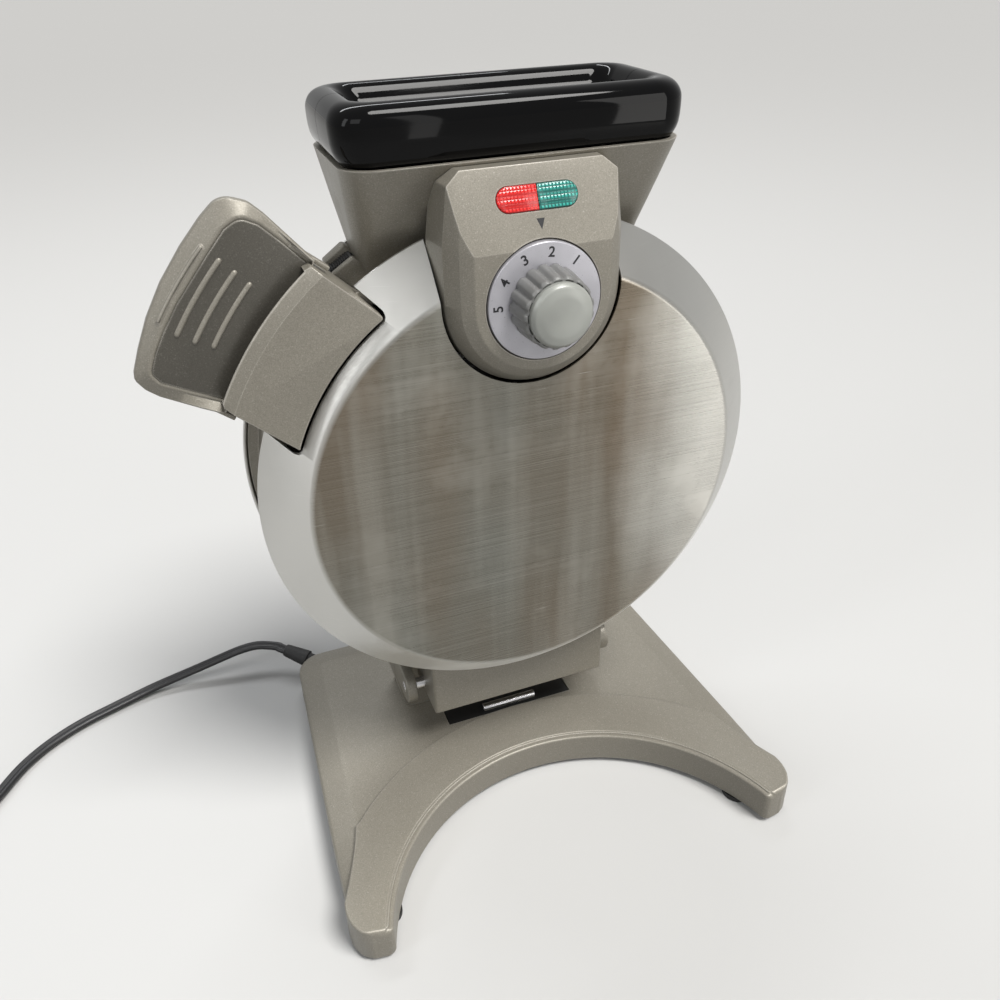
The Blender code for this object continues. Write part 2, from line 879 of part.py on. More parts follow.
def build_top(side, body, end):
    """One half of the neck and one half of the funnel, parted at the middle plane."""
    far = 2 * rim_radius
    gap = touch / 2
    low_y, high_y = (-far, gap) if side > 0 else (-gap, far)
    other_half = box(
        end + "_other_half",
        (-far, low_y, 0),
        (far, high_y, 2 * rim_height),
        body=body,
    )
    neck = loft(end + "_neck", neck_loops(0), taupe, body)
    boolean(neck, loft(end + "_neck_hollow", neck_loops(-plastic_wall, overrun), body=body))
    boolean(neck, other_half)
    room = rod(
        end + "_neck_room",
        frame_radius + touch,
        2 * far,
        disc_centre,
        facing_front,
        body=body,
        sides=72,
    )
    boolean(neck, room)
    funnel = loft(end + "_funnel", funnel_loops(), black_gloss, body, ring=True)
    boolean(funnel, other_half)


def build_half(end, body, turn, side):
    shell = build_shell(end + "_shell", body, turn)
    frame = build_frame(end + "_frame", body, turn, side)
    build_waffle_plate(end + "_waffle_plate", body, turn, side)
    build_top(side, body, end)
    return shell, frame


def build_gasket():
    inner = plate_radius + 2 * touch
    outer = frame_radius
    reach = ring_low - touch
    profile = [(outer, reach), (outer, -reach), (inner, -reach), (inner, reach)]
    gasket = turned("parting_gasket", profile, black_rubber, turn=facing_rear, steps=72)
    slot = chute_half_width + touch
    boolean(
        gasket,
        box("gasket_slot", (-slot, -rim_offset, disc_height), (slot, rim_offset, neck_top)),
    )


def housing_loops(inset, back_extra=0, front=housing_front):
    """The control housing's outline, a round bottom and drawn-in top, at four depths."""
    corner_drop = 0.0046
    corner_step = 0.0058
    sizes = (
        (housing_back_half_width, housing_back + back_extra),
        (housing_half_width, -face_offset),
        (housing_chamfer_half_width, housing_chamfer),
        (housing_front_half_width, front),
    )
    loops = []
    for half_width, y in sizes:
        w = half_width - inset
        top_w = w * top_draw_share
        top = housing_top - inset
        loop = arc((0, dial_height), w, 180, 360, 16)
        loop += [
            (w, crease_height),
            (top_w, top - corner_drop),
            (top_w - corner_step, top),
            (-top_w + corner_step, top),
            (-top_w, top - corner_drop),
            (-w, crease_height),
        ]
        loops.append([(x, y, z) for x, z in loop])
    return loops


facet_turn = math.atan2(housing_top_y - housing_front - facet_step, housing_top - crease_height)


def facet_y(height):
    """Depth of the sloping upper face of the control housing."""
    return housing_top_y - (housing_top - height) * math.tan(facet_turn)


def build_controls(shell):
    """The housing in its notch in the front shell, with lamps above and the thermostat behind."""
    body = front_half
    notch_gap = 0.0015
    inset = plastic_wall
    housing = loft("control_housing", housing_loops(0), taupe, body)

    def facet_cutter(name, set_back):
        """A block in front of the sloping face."""
        reach = 2 * rim_radius
        place = Vector((0, facet_y(lens_height), lens_height))
        normal = Vector((0, -math.cos(facet_turn), math.sin(facet_turn)))
        size = Vector((reach, reach, reach))
        middle = place + normal * (reach / 2 - set_back)
        return box(name, middle - size / 2, middle + size / 2, body=body, turn=(-facet_turn, 0, 0))

    hollow = loft(
        "housing_hollow",
        housing_loops(inset, overrun, housing_front + recess_depth + inset),
        body=body,
    )
    boolean(hollow, facet_cutter("hollow_facet", inset))
    boolean(housing, facet_cutter("housing_facet", 0))
    boolean(housing, hollow)
    recess_radius = dial_radius + 2 * touch
    recess_place = Vector((0, housing_front, dial_height))
    boolean(
        housing,
        rod("dial_recess", recess_radius, 2 * recess_depth, recess_place, facing_front, body=body, sides=48),
    )
    hole = thermostat_shaft_radius + 2 * touch
    boolean(housing, rod("shaft_hole", hole, face_offset, recess_place, facing_front, body=body, sides=20))

    reach = 2 * rim_radius
    foot, top = neck_sizes()[1], neck_sizes()[-1]
    neck_lean = math.atan2(top[1] - foot[1], top[3] - foot[3])
    lean_place = Vector((0, -neck_half_depth - touch, neck_top))
    lean_normal = Vector((0, math.cos(neck_lean), math.sin(neck_lean)))
    middle = lean_place + lean_normal * reach / 2
    size = Vector((reach, reach, reach))
    behind = box(
        "neck_face_room",
        middle - size / 2,
        middle + size / 2,
        body=body,
        turn=(neck_lean, 0, 0),
    )
    boolean(housing, behind)

    notch = loft("housing_notch", notch_loops(notch_gap), body=body)
    boolean(shell, notch)

    lens_half_length = 0.0158
    lens_half_height = 0.0046
    facing = (quarter_turn - facet_turn, 0, 0)
    lens_place = Vector((0, facet_y(lens_height), lens_height))

    def pill(half_length, half_height):
        ends = half_length - half_height
        return arc((ends, 0), half_height, -90, 90, 8) + arc((-ends, 0), half_height, 90, 270, 8)

    def half_pill(side, half_length, half_height):
        ends = half_length - half_height
        return [
            (side * x, y) for x, y in [(touch / 2, -half_height)] + arc((ends, 0), half_height, -90, 90, 8)
        ] + [(side * touch / 2, half_height)]

    window = pill(lens_half_length + touch, lens_half_height + touch)
    boolean(housing, plate("lens_window", window, -overrun / 2, overrun / 2, facing, lens_place, body=body))
    proud = 0.0006
    lens_seat = 0.0004
    lens_depth = inset + lens_seat
    for name, side, colour in (("red_lens", -1, red_plastic), ("green_lens", 1, green_plastic)):
        outline = half_pill(side, lens_half_length, lens_half_height)
        plate(name, outline, -lens_depth, proud, facing, lens_place, colour, body)
    holder_depth = 0.0050
    holder_place = lens_place + Vector((0, math.cos(facet_turn), -math.sin(facet_turn))) * (
        lens_depth + touch + holder_depth / 2
    )
    holder_size = Vector((2 * lens_half_length - proud, holder_depth, 2 * lens_half_height))
    box(
        "lamp_holder",
        holder_place - holder_size / 2,
        holder_place + holder_size / 2,
        ceramic,
        body,
        (-facet_turn, 0, 0),
    )

    thermostat_half_width = 0.0150
    thermostat_half_height = 0.0120
    thermostat_depth = 0.0110
    thermostat_front = housing_front + recess_depth + inset + touch
    thermostat_rear = thermostat_front + thermostat_depth
    thermostat = box(
        "thermostat_body",
        (-thermostat_half_width, thermostat_front, dial_height - thermostat_half_height),
        (thermostat_half_width, thermostat_rear, dial_height + thermostat_half_height),
        ceramic,
        body,
    )
    bore = rod(
        "thermostat_bore",
        thermostat_shaft_radius + touch,
        thermostat_rear - thermostat_front,
        (0, thermostat_front, dial_height),
        facing_front,
        body=body,
        sides=20,
    )
    boolean(thermostat, bore)


def notch_loops(gap):
    """The room for the housing in the shell: the housing's sides, grown, and open at the top."""
    loops = []
    for half_width, y in (
        (housing_half_width + gap, -2 * face_offset),
        (housing_half_width + gap, -face_offset),
        (housing_back_half_width + gap, -rim_offset / 2),
    ):
        loop = arc((0, dial_height), half_width, 180, 360, 20)
        loop += [(half_width, neck_top), (-half_width, neck_top)]
        loops.append([(x, y, z) for x, z in loop])
    return loops


def build_knob():
    """Dial skirt, fluted knob, its pale cap and the shaft they turn."""
    body = knob_body
    skirt_back = housing_front + recess_depth - touch
    skirt_proud = 0.0010
    skirt_front = housing_front - skirt_proud
    knob_back = skirt_front - touch
    knob_length = 0.0133
    knob_front = knob_back - knob_length
    cap_proud = 0.0041
    cap_front = knob_front - cap_proud
    flute_count = 17
    flute_depth = 0.0007
    knob_radius = 0.0148
    knob_front_radius = 0.0140
    edge = 0.0008
    cap_radius = 0.0123
    cap_depth = 0.0040
    cap_seat = knob_front + cap_depth
    crown = (0.0003, 0.0009, 0.0022)
    crown_shares = (0.65, 0.90)
    shaft_radius = thermostat_shaft_radius
    shaft_front = cap_seat + plastic_wall
    centre = Vector((0, 0, dial_height))

    turned(
        "dial_skirt",
        [
            (dial_radius - edge, -skirt_front),
            (dial_radius, -skirt_front - edge),
            (dial_radius, -skirt_back),
            (shaft_radius + touch, -skirt_back),
            (shaft_radius + touch, -skirt_front),
        ],
        dial_silver,
        body,
        centre,
        steps=48,
    )

    def fluted(radius, y):
        points = []
        for i in range(4 * flute_count):
            angle = 2 * half_turn * i / (4 * flute_count)
            r = radius - flute_depth * (1 + math.cos(4 * quarter_turn * i / 4)) / 2
            points.append((r * math.cos(angle), y, dial_height + r * math.sin(angle)))
        return points

    levels = ((knob_radius, knob_back), (knob_front_radius, knob_front + edge))
    levels += ((knob_front_radius - edge, knob_front),)
    knob = loft("knob", [fluted(r, y) for r, y in levels], knob_grey, body)
    pocket_length = 2 * (cap_seat - knob_front)
    pocket = rod(
        "cap_pocket",
        cap_radius + touch,
        pocket_length,
        (0, knob_front, dial_height),
        facing_front,
        body=body,
        sides=40,
    )
    boolean(knob, pocket)
    bore_length = 2 * (knob_back - shaft_front + touch)
    bore = rod(
        "knob_bore",
        shaft_radius + touch,
        bore_length,
        (0, knob_back, dial_height),
        facing_front,
        body=body,
        sides=20,
    )
    boolean(knob, bore)
    turned(
        "knob_cap",
        [
            (0, -cap_front),
            (crown_shares[0] * cap_radius, -cap_front - crown[0]),
            (crown_shares[1] * cap_radius, -cap_front - crown[1]),
            (cap_radius, -cap_front - crown[2]),
            (cap_radius, -cap_seat + touch),
            (0, -cap_seat + touch),
        ],
        cap_grey,
        body,
        centre,
        shut=False,
        steps=40,
    )
    shaft_rear = skirt_back + 2 * plastic_wall + touch
    rod(
        "thermostat_shaft",
        shaft_radius,
        shaft_rear - shaft_front,
        (0, (shaft_rear + shaft_front) / 2, dial_height),
        facing_front,
        plain_metal,
        body,
        16,
    )


def build_hinge_block():
    rear = 0.0136
    rear_rise = 0.0105
    front = -0.0204
    block_bottom = hinge_height - block_drop
    rear_top = hinge_height + rear_rise
    top = disc_height - frame_radius / 2
    round_over = 0.0020
    outline = [
        (front, block_bottom),
        (rear, block_bottom),
        (rear, rear_top),
        (-ring_low, rear_top),
        (-ring_low, top),
        (front, top),
    ]
    across = (quarter_turn, 0, quarter_turn)
    block = plate(
        "front_hinge_block",
        outline,
        -block_half_width,
        block_half_width,
        across,
        colour=taupe,
        body=front_half,
    )
    rounded(block, round_over)
    hole = rod(
        "block_pin_hole",
        hinge_pin_radius + touch,
        3 * block_half_width,
        hinge_place,
        along_x,
        body=front_half,
        sides=20,
    )
    boolean(block, hole)
    boolean(block, half_disc("front_half_room", front_half, facing_front))


def sector_outline(inner, outer, half_width_in, half_width_out, steps=4):
    """An outline in the handle's own directions between two arcs round the disc's middle."""
    low = math.degrees(math.asin(half_width_in / inner))
    high = math.degrees(math.asin(half_width_out / outer))
    return arc((0, 0), inner, low, -low, steps) + arc((0, 0), outer, -high, high, steps)


def build_handle(shell, frame):
    """A fixed shank cover on the front half, and the release paddle that pivots under it."""
    body = front_half
    turn = handle_turn()
    cover_slope = 0.0046
    inner_round = 0.0012
    side_round_in = 0.0012
    side_round_out = 0.0015
    half_in = cover_half_in
    half_out = cover_half_out
    gap = 0.0012
    wall = plastic_wall

    def level(inner, outer, width_in, width_out, y):
        outline = sector_outline(inner, outer, width_in, width_out)
        frame_turn = turn.to_matrix()
        return [disc_centre + frame_turn @ Vector((s, t, y)) for s, t in outline]

    cover = loft(
        "handle_shank_cover",
        [
            level(cover_inner_radius, cover_outer_radius, half_in, half_out, cover_back),
            level(cover_inner_radius, cover_outer_radius, half_in, half_out, cover_step),
            level(
                cover_inner_radius + inner_round,
                cover_outer_radius - cover_slope,
                half_in - side_round_in,
                half_out - side_round_out,
                cover_front,
            ),
        ],
        taupe,
        body,
    )
    hollow = sector_outline(
        cover_inner_radius + wall, cover_outer_radius + overrun, half_in - wall, half_in - wall
    )
    boolean(cover, plate("cover_hollow", hollow, cover_front + 1.2 * wall, 0, turn, disc_centre, body=body))
    frame_room_profile = [
        (0, flange_high + 2 * touch),
        (frame_radius + touch, flange_high + 2 * touch),
        (frame_radius + touch, 0),
        (0, 0),
    ]
    frame_room = turned(
        "cover_frame_room",
        frame_room_profile,
        body=body,
        turn=facing_front,
        shut=False,
        steps=72,
    )
    boolean(cover, frame_room)

    grown = sector_outline(cover_inner_radius - gap, cover_outer_radius + overrun, half_in + gap, half_out + 2 * gap)
    notch = plate("handle_notch", grown, -2 * face_offset, -ring_low, turn, disc_centre, body=body)
    boolean(shell, notch)
    flange_notch_outline = sector_outline(
        frame_radius - touch, cover_outer_radius, half_in + gap, half_out + gap
    )
    flange_notch = plate(
        "flange_notch",
        flange_notch_outline,
        -flange_high - overrun,
        -flange_low + touch,
        turn,
        disc_centre,
        body=body,
    )
    boolean(frame, flange_notch)

    ear_round = 0.0045
    ear_depth = 0.0100
    ear_thickness = 0.0027
    ear_outer = pin_reach + ear_round
    ear_outer_width = half_in - wall - touch
    ear_inner_width = ear_outer_width - ear_thickness
    bracket = plate(
        "handle_bracket",
        sector_outline(bracket_inner, bracket_outer, ear_outer_width, ear_outer_width),
        bracket_front,
        bracket_back,
        turn,
        disc_centre,
        plain_metal,
        body,
    )
    root_reach = math.sqrt(bracket_inner**2 - ear_outer_width**2)
    for i, edge in enumerate((-1, 1)):
        near, far = sorted((edge * ear_inner_width, edge * (ear_outer_width - touch)))
        ear_outline = [(root_reach, near), (ear_outer, near), (ear_outer, far), (root_reach, far)]
        ear = plate(
            f"bracket_ear_{i}",
            ear_outline,
            bracket_front + touch,
            bracket_front + ear_depth,
            turn,
            disc_centre,
            body=body,
        )
        boolean(bracket, ear, "UNION")
    boolean(bracket, frame_room)
    across = Matrix((handle_out, Vector((0, -1, 0)), handle_across)).transposed().to_euler()
    pin_hole = rod("ear_holes", pin_radius + touch, 3 * half_in, pin_place, across, body=body, sides=20)
    boolean(bracket, pin_hole)
    rod(
        "paddle_pin",
        pin_radius,
        2 * ear_outer_width,
        pin_place,
        across,
        plain_metal,
        body,
        16,
    )
    build_spring(ear_inner_width)
    build_paddle(turn, across)
    build_latch(turn)


def handle_point(out, across, y):
    return disc_centre + handle_out * out + handle_across * across + Vector((0, y, 0))


def build_spring(ear_inner_width):
    """The torsion spring on the paddle's pin, against the ear on one side."""
    wire_radius = 0.0005
    pin_room = 0.0007
    coil_radius = pin_radius + pin_room + wire_radius
    turns = 4
    pitch = 0.0012
    start = ear_inner_width - touch - wire_radius - turns * pitch
    per_turn = 10
    points = []
    for i in range(turns * per_turn + 1):
        angle = 2 * half_turn * i / per_turn
        out = pin_reach + coil_radius * math.cos(angle)
        y = pin_y + coil_radius * math.sin(angle)
        points.append(handle_point(out, start + pitch * i / per_turn, y))
    spring = tube("paddle_spring", points, wire_radius, plain_metal, root, 1)
    spring.parent = front_half
    spring.location = -hinge_place


def build_paddle(turn, across):
    """The broad lever that is pressed forward to let go of the rear half."""
    body = paddle_body
    chamfer = 0.0012
    panel_rise = 0.0010
    panel_edge = 0.0006
    lip_length = 0.0125
    lip_width = 0.0020
    lip_reach = cover_outer_radius - lip_length
    lip_inner = cover_half_out + paddle_gap
    lip_outer = lip_inner + lip_width
    slant = paddle_slant / paddle_length
    middle = paddle_inner + paddle_middle_share * paddle_length

    def spots(shares):
        return [(paddle_inner + out * paddle_length, side * paddle_half_width) for out, side in shares]

    inner_angle = math.degrees(math.asin(lip_inner / paddle_inner))
    outline = spots(paddle_outer_shares)
    outline += [(lip_reach, lip_outer), (lip_reach, lip_inner)]
    outline += arc((0, 0), paddle_inner, inner_angle, -inner_angle, 8)
    outline += [(lip_reach, -lip_inner), (lip_reach, -lip_outer)]
    outline += spots(paddle_lower_shares)

    def front_level(points, inset, lift):
        """Points of an outline, drawn in, at a height behind the slanting front face."""
        loop = []
        for out, side in points:
            drawn_out = out - inset * (1 if out > middle else -1)
            drawn_side = side - inset * ((side > 0) - (side < 0))
            y = paddle_front + slant * (out - paddle_inner) + lift
            loop.append(handle_point(drawn_out, drawn_side, y))
        return loop

    thickness = paddle_thickness
    levels = ((chamfer / 2, 0), (0, chamfer / 2), (0, thickness - chamfer / 2), (chamfer / 2, thickness))
    blade = loft("release_paddle", [front_level(outline, inset, lift) for inset, lift in levels], taupe, body)
    panel_radius = paddle_inner + panel_edge
    panel_angle = math.degrees(math.asin(panel_side_share * paddle_half_width / panel_radius))
    panel_outline = spots(panel_shares) + arc((0, 0), panel_radius, -panel_angle, panel_angle, 6)
    panel_levels = ((panel_rise, -panel_rise), (0, 0), (0, thickness / 2))
    panel = loft(
        "paddle_panel",
        [front_level(panel_outline, inset, lift) for inset, lift in panel_levels],
        body=body,
    )
    boolean(blade, panel, "UNION")
    rib_half_width = 0.0010
    rib_half_length = 0.0160
    for i, (reach, _) in enumerate(spots([(share, 0) for share in rib_shares])):
        sides = ((1, 1), (-1, 1), (-1, -1), (1, -1))
        rib_outline = [(reach + a * rib_half_width, b * rib_half_length) for a, b in sides]
        rib_levels = (-2 * panel_rise, 0)
        rib = loft(f"paddle_rib_{i}", [front_level(rib_outline, 0, lift) for lift in rib_levels], body=body)
        boolean(blade, rib, "UNION")
    root_half_width = 0.0160
    root_gap = 0.0023
    root_front = paddle_front + root_step
    root_inner = bracket_outer + root_gap
    root_outer = paddle_inner + plastic_wall
    root_outline = [
        (root_outer, -root_half_width),
        (root_outer, root_half_width),
        (root_inner, root_half_width),
        (root_inner, -root_half_width),
    ]
    root = plate("paddle_root", root_outline, root_front, root_front + root_depth, turn, disc_centre, body=body)
    boolean(blade, root, "UNION")
    hole = rod("paddle_hole", pin_radius + touch, 3 * root_half_width, pin_place, across, body=body, sides=20)
    boolean(blade, hole)


def build_latch(turn):
    """The hook that rides on the paddle, and its catch on the rear half."""
    hook_front = paddle_front + root_step + root_depth + touch
    hook_rear = 0.0080
    hook_outline = [
        (hook_inner, -hook_half_width),
        (hook_outer, -hook_half_width),
        (hook_outer, hook_half_width),
        (hook_inner, hook_half_width),
    ]
    plate("latch_hook", hook_outline, hook_front, hook_rear, turn, disc_centre, plain_metal, paddle_body)
    catch_half_width = 0.0080
    catch_front = 0.0030
    catch_rear = 0.0120
    catch_outer = hook_inner - 2 * touch
    catch = sector_outline(bracket_inner, catch_outer, catch_half_width, catch_half_width, 2)
    plate("latch_catch", catch, catch_front, catch_rear, turn, disc_centre, plain_metal)


def build_all():
    base = build_base()
    build_pedestal()
    front_shell, front_frame = build_half("front", front_half, facing_front, -1)
    build_half("rear", root, facing_rear, 1)
    build_gasket()
    build_controls(front_shell)
    build_knob()
    build_hinge_block()
    build_handle(front_shell, front_frame)
    build_lead(base)


def smooth_route(points, per_span):
    """A smooth curve through a route's points, read at even shares of each span."""
    held = [points[0], *points, points[-1]]
    made = []
    for before, start, end, after in zip(held, held[1:], held[2:], held[3:]):
        for i in range(per_span):
            t = i / per_span
            made.append(
                (2 * start + t * (end - before) + t * t * (2 * before - 5 * start + 4 * end - after)
                 + t * t * t * (3 * start - before - 3 * end + after)) / 2
            )
    return made + [points[-1]]


def coil_spot(turn_count):
    """A point on the coil: in by one pitch a turn, up a layer where it reverses, and out again."""
    radius = coil_outer - coil_pitch * min(turn_count, coil_turns - turn_count)
    angle = coil_start_angle - 2 * half_turn * turn_count
    climb_half = 0.25
    share = (turn_count - coil_turns / 2 + climb_half) / (2 * climb_half)
    share = max(0, min(1, share))
    height = coil_low + coil_pitch * share
    return coil_centre + Vector((radius * math.cos(angle), radius * math.sin(angle), height))


def coil_heading(turn_count):
    angle = coil_start_angle - 2 * half_turn * turn_count
    return Vector((math.sin(angle), -math.cos(angle), 0))


def lead_spot(shares, height):
    """A place in the rear left corner of the foot, as shares of its half width and of its rear."""
    return Vector((-shares[0] * base_rear_half_width, shares[1] * base_rear, height))


def build_lead(base):
    """The mains lead: its relief, its free run, and the rest wound up outside the picture."""
    relief_turn = math.radians(51.5)
    relief_rise = math.radians(13)
    relief_height = 0.0104
    relief_root = lead_spot(relief_shares, relief_height)
    relief_length = 0.0240
    neck_radius = 0.0040
    neck_length = 0.0050
    collar_radius = 0.0050
    collar_start = 0.0088
    collar_width = 0.0012
    tip_wall = 0.0005
    tip_radius = cord_radius + tip_wall
    out = Vector(
        (
            -math.sin(relief_turn) * math.cos(relief_rise),
            math.cos(relief_turn) * math.cos(relief_rise),
            math.sin(relief_rise),
        )
    )
    turn = out.to_track_quat("Z", "Y").to_euler()
    hole_length = 4 * neck_length
    boolean(base, rod("relief_hole", neck_radius + touch, hole_length, relief_root, turn, sides=20))
    turned(
        "strain_relief",
        [
            (0, relief_length),
            (tip_radius, relief_length),
            (collar_radius, collar_start + collar_width),
            (collar_radius, collar_start),
            (neck_radius, collar_start),
            (neck_radius, -neck_length),
            (0, -neck_length),
        ],
        black_rubber,
        place=relief_root,
        turn=turn,
        shut=False,
        steps=20,
    )
    terminal_height = 0.0096
    terminal_centre = lead_spot(terminal_shares, terminal_height)
    terminal_size = Vector((0.0240, 0.0160, 0.0090))
    box(
        "terminal_block",
        terminal_centre - terminal_size / 2,
        terminal_centre + terminal_size / 2,
        ceramic,
    )

    straight = 2 * cord_radius
    coil_start = coil_spot(0) - coil_heading(0) * straight
    cord_start = relief_root + out * (relief_length + touch)
    cord_end = coil_start - coil_heading(0) * touch
    route = [
        cord_start,
        cord_start + out * cord_radius,
        cord_start + out * straight,
        (-0.1243, 0.1031, 0.0184),
        (-0.1352, 0.1046, 0.0170),
        (-0.1474, 0.1052, 0.0140),
        (-0.1612, 0.1061, 0.0100),
        (-0.1747, 0.1064, 0.0068),
        (-0.1881, 0.1053, 0.0046),
        (-0.2011, 0.1020, 0.0036),
        (-0.2137, 0.0977, 0.0033),
        (-0.2259, 0.0931, 0.0033),
        (-0.2378, 0.0871, 0.0033),
        (-0.2493, 0.0792, 0.0033),
        (-0.2602, 0.0685, 0.0034),
        (-0.2703, 0.0534, 0.0038),
        cord_end - coil_heading(0) * 2 * straight,
        cord_end - coil_heading(0) * cord_radius,
        cord_end,
    ]
    route = [Vector(point) for point in route]
    tube("power_cord", smooth_route(route, 1), cord_radius, black_rubber, resolution=2)
    build_coil(straight, coil_start)


def build_coil(straight, coil_start):
    line = [coil_start]
    count = round(loop_points * coil_turns)
    line += [coil_spot(coil_turns * i / count) for i in range(count + 1)]
    bend_radius = 8 * cord_radius
    bend = math.radians(50)
    heading = coil_heading(coil_turns)
    left = Vector((-heading.y, heading.x, 0))
    middle = coil_spot(coil_turns) + left * bend_radius
    bend_steps = 4
    for i in range(1, bend_steps + 1):
        angle = bend * i / bend_steps
        line.append(middle + bend_radius * (heading * math.sin(angle) - left * math.cos(angle)))
    plug_heading = heading * math.cos(bend) + left * math.sin(bend)
    line.append(line[-1] + plug_heading * straight)
    tube("cord_coil", line, cord_radius, black_rubber, resolution=1)

    fine = []
    for start, end in zip(line, line[1:]):
        fine += [start.lerp(end, i / 4) for i in range(4)]
    skip = round(4 * loop_points / 3)
    least = min((a - b).length for i, a in enumerate(fine) for b in fine[i + skip :])
    print(f"least gap of cord_coil to itself: {1000 * (least - 2 * cord_radius):.2f} mm")

    tie_turn = 0.25
    tie_half_length = 0.0040
    strap = 0.0008
    side_room = 0.0008
    under_room = 0.00025
    near = coil_outer - coil_pitch * (1 + tie_turn) - cord_radius - side_room
    far = coil_outer - coil_pitch * tie_turn + cord_radius + side_room
    low = coil_low - cord_radius - under_room
    high = coil_low + coil_pitch + cord_radius + side_room
    heading = coil_heading(tie_turn)
    outward = Vector((-heading.y, heading.x, 0))

    def strap_loop(grow, along):
        corners = (
            (near - grow, low - grow),
            (far + grow, low - grow),
            (far + grow, high + grow),
            (near - grow, high + grow),
        )
        return [coil_centre + outward * r + heading * along + Vector((0, 0, z)) for r, z in corners]

    ends = (-tie_half_length, tie_half_length)
    loops = [strap_loop(strap, ends[0]), strap_loop(strap, ends[1])]
    loops += [strap_loop(0, ends[1]), strap_loop(0, ends[0])]
    loft("cord_tie", loops, black_plastic, ring=True)
    build_plug(line[-1] + plug_heading * touch, plug_heading)


def build_plug(start, heading):
    """A moulded plug lying on its broad side, with two flat blades."""
    length = 0.0380
    half_width = 0.0130
    neck_half = 0.0045
    blade_length = 0.0165
    blade_half_width = 0.0032
    blade_half_thickness = 0.00075
    blade_spread = 0.0063
    side = Vector((heading.y, -heading.x, 0))
    upright = Vector((0, 0, 1))
    half_height = start.z - touch

    def section(along, wide, high, corner, steps=3):
        loop = rounded_rectangle(wide, high, corner, 0, steps)
        return [start + heading * along + side * x + upright * y for x, y, _ in loop]

    shoulder = 0.30 * length
    waist = 0.62 * length
    loops = [
        section(0, neck_half, neck_half, 0.8 * neck_half),
        section(shoulder, 0.62 * half_width, 0.62 * half_height, neck_half),
        section(waist, half_width, half_height, neck_half),
        section(length - touch, half_width, half_height, neck_half),
    ]
    loft("plug_body", loops, black_plastic)
    for name, offset in (("plug_blade_left", -blade_spread), ("plug_blade_right", blade_spread)):
        blade_loops = []
        for along in (length, length + blade_length):
            loop = []
            for a, b in ((1, 1), (-1, 1), (-1, -1), (1, -1)):
                spot = start + heading * along + side * (offset + a * blade_half_thickness)
                loop.append(spot + upright * b * blade_half_width)
            blade_loops.append(loop)
        loft(name, blade_loops, plain_metal)


build_all()


def move_footprint():
    """Puts the middle of the footprint, without the lead, on the origin."""
    bpy.context.view_layer.update()
    graph = bpy.context.evaluated_depsgraph_get()
    corners = []
    for made in parts.objects:
        if made.type == "EMPTY" or made.name in lead_names:
            continue
        solid = made.evaluated_get(graph)
        corners += [solid.matrix_world @ vertex.co for vertex in solid.data.vertices]
    middle_x = (min(c.x for c in corners) + max(c.x for c in corners)) / 2
    middle_y = (min(c.y for c in corners) + max(c.y for c in corners)) / 2
    root.location = (-middle_x, -middle_y, 0)


move_footprint()
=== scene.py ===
import json
from math import asin, atan2, cos, degrees, pi, radians, sin, sqrt, tan

import bmesh
import bpy
from mathutils import Matrix, Vector

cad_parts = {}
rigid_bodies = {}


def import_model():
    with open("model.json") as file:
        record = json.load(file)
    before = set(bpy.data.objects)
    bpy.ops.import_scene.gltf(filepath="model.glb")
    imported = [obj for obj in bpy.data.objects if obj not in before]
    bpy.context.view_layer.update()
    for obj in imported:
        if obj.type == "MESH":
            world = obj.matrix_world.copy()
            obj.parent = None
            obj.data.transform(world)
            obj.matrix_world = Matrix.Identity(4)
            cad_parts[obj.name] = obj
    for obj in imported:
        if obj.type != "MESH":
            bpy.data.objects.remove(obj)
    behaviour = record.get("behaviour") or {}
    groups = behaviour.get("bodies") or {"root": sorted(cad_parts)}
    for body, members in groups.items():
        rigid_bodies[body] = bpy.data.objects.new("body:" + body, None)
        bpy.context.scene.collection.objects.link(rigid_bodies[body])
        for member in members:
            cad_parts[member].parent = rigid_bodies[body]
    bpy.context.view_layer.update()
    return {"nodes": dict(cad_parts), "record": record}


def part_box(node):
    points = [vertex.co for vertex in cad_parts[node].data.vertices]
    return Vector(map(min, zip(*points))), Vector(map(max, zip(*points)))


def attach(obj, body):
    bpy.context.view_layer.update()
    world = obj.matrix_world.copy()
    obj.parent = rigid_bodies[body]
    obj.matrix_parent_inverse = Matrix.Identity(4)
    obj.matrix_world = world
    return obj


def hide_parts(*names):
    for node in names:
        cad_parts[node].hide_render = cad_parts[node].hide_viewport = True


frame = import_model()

# The part's own frame: x = 0 at the disc's middle, y = 0 at the parting plane, z = 0 on the table
shell_low, shell_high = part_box("rear_shell")
gasket_low, gasket_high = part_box("parting_gasket")
PLACE = Vector(((shell_low.x + shell_high.x) / 2, (gasket_low.y + gasket_high.y) / 2, 0))
DISC = (shell_low.z + shell_high.z) / 2
TURN = 2 * pi
QUARTER = TURN / 4

# Sizes that several pieces share, in metres as all sizes here
RIM = 0.115
FACE_RADIUS = 0.0964
SHELL_DEPTH = 0.0392
DRUM = 0.108
BESIDE_DRUM = 0.1083
HINGE_Z = 0.052
FAR = 0.2
LARGE_CIRCLE = 160

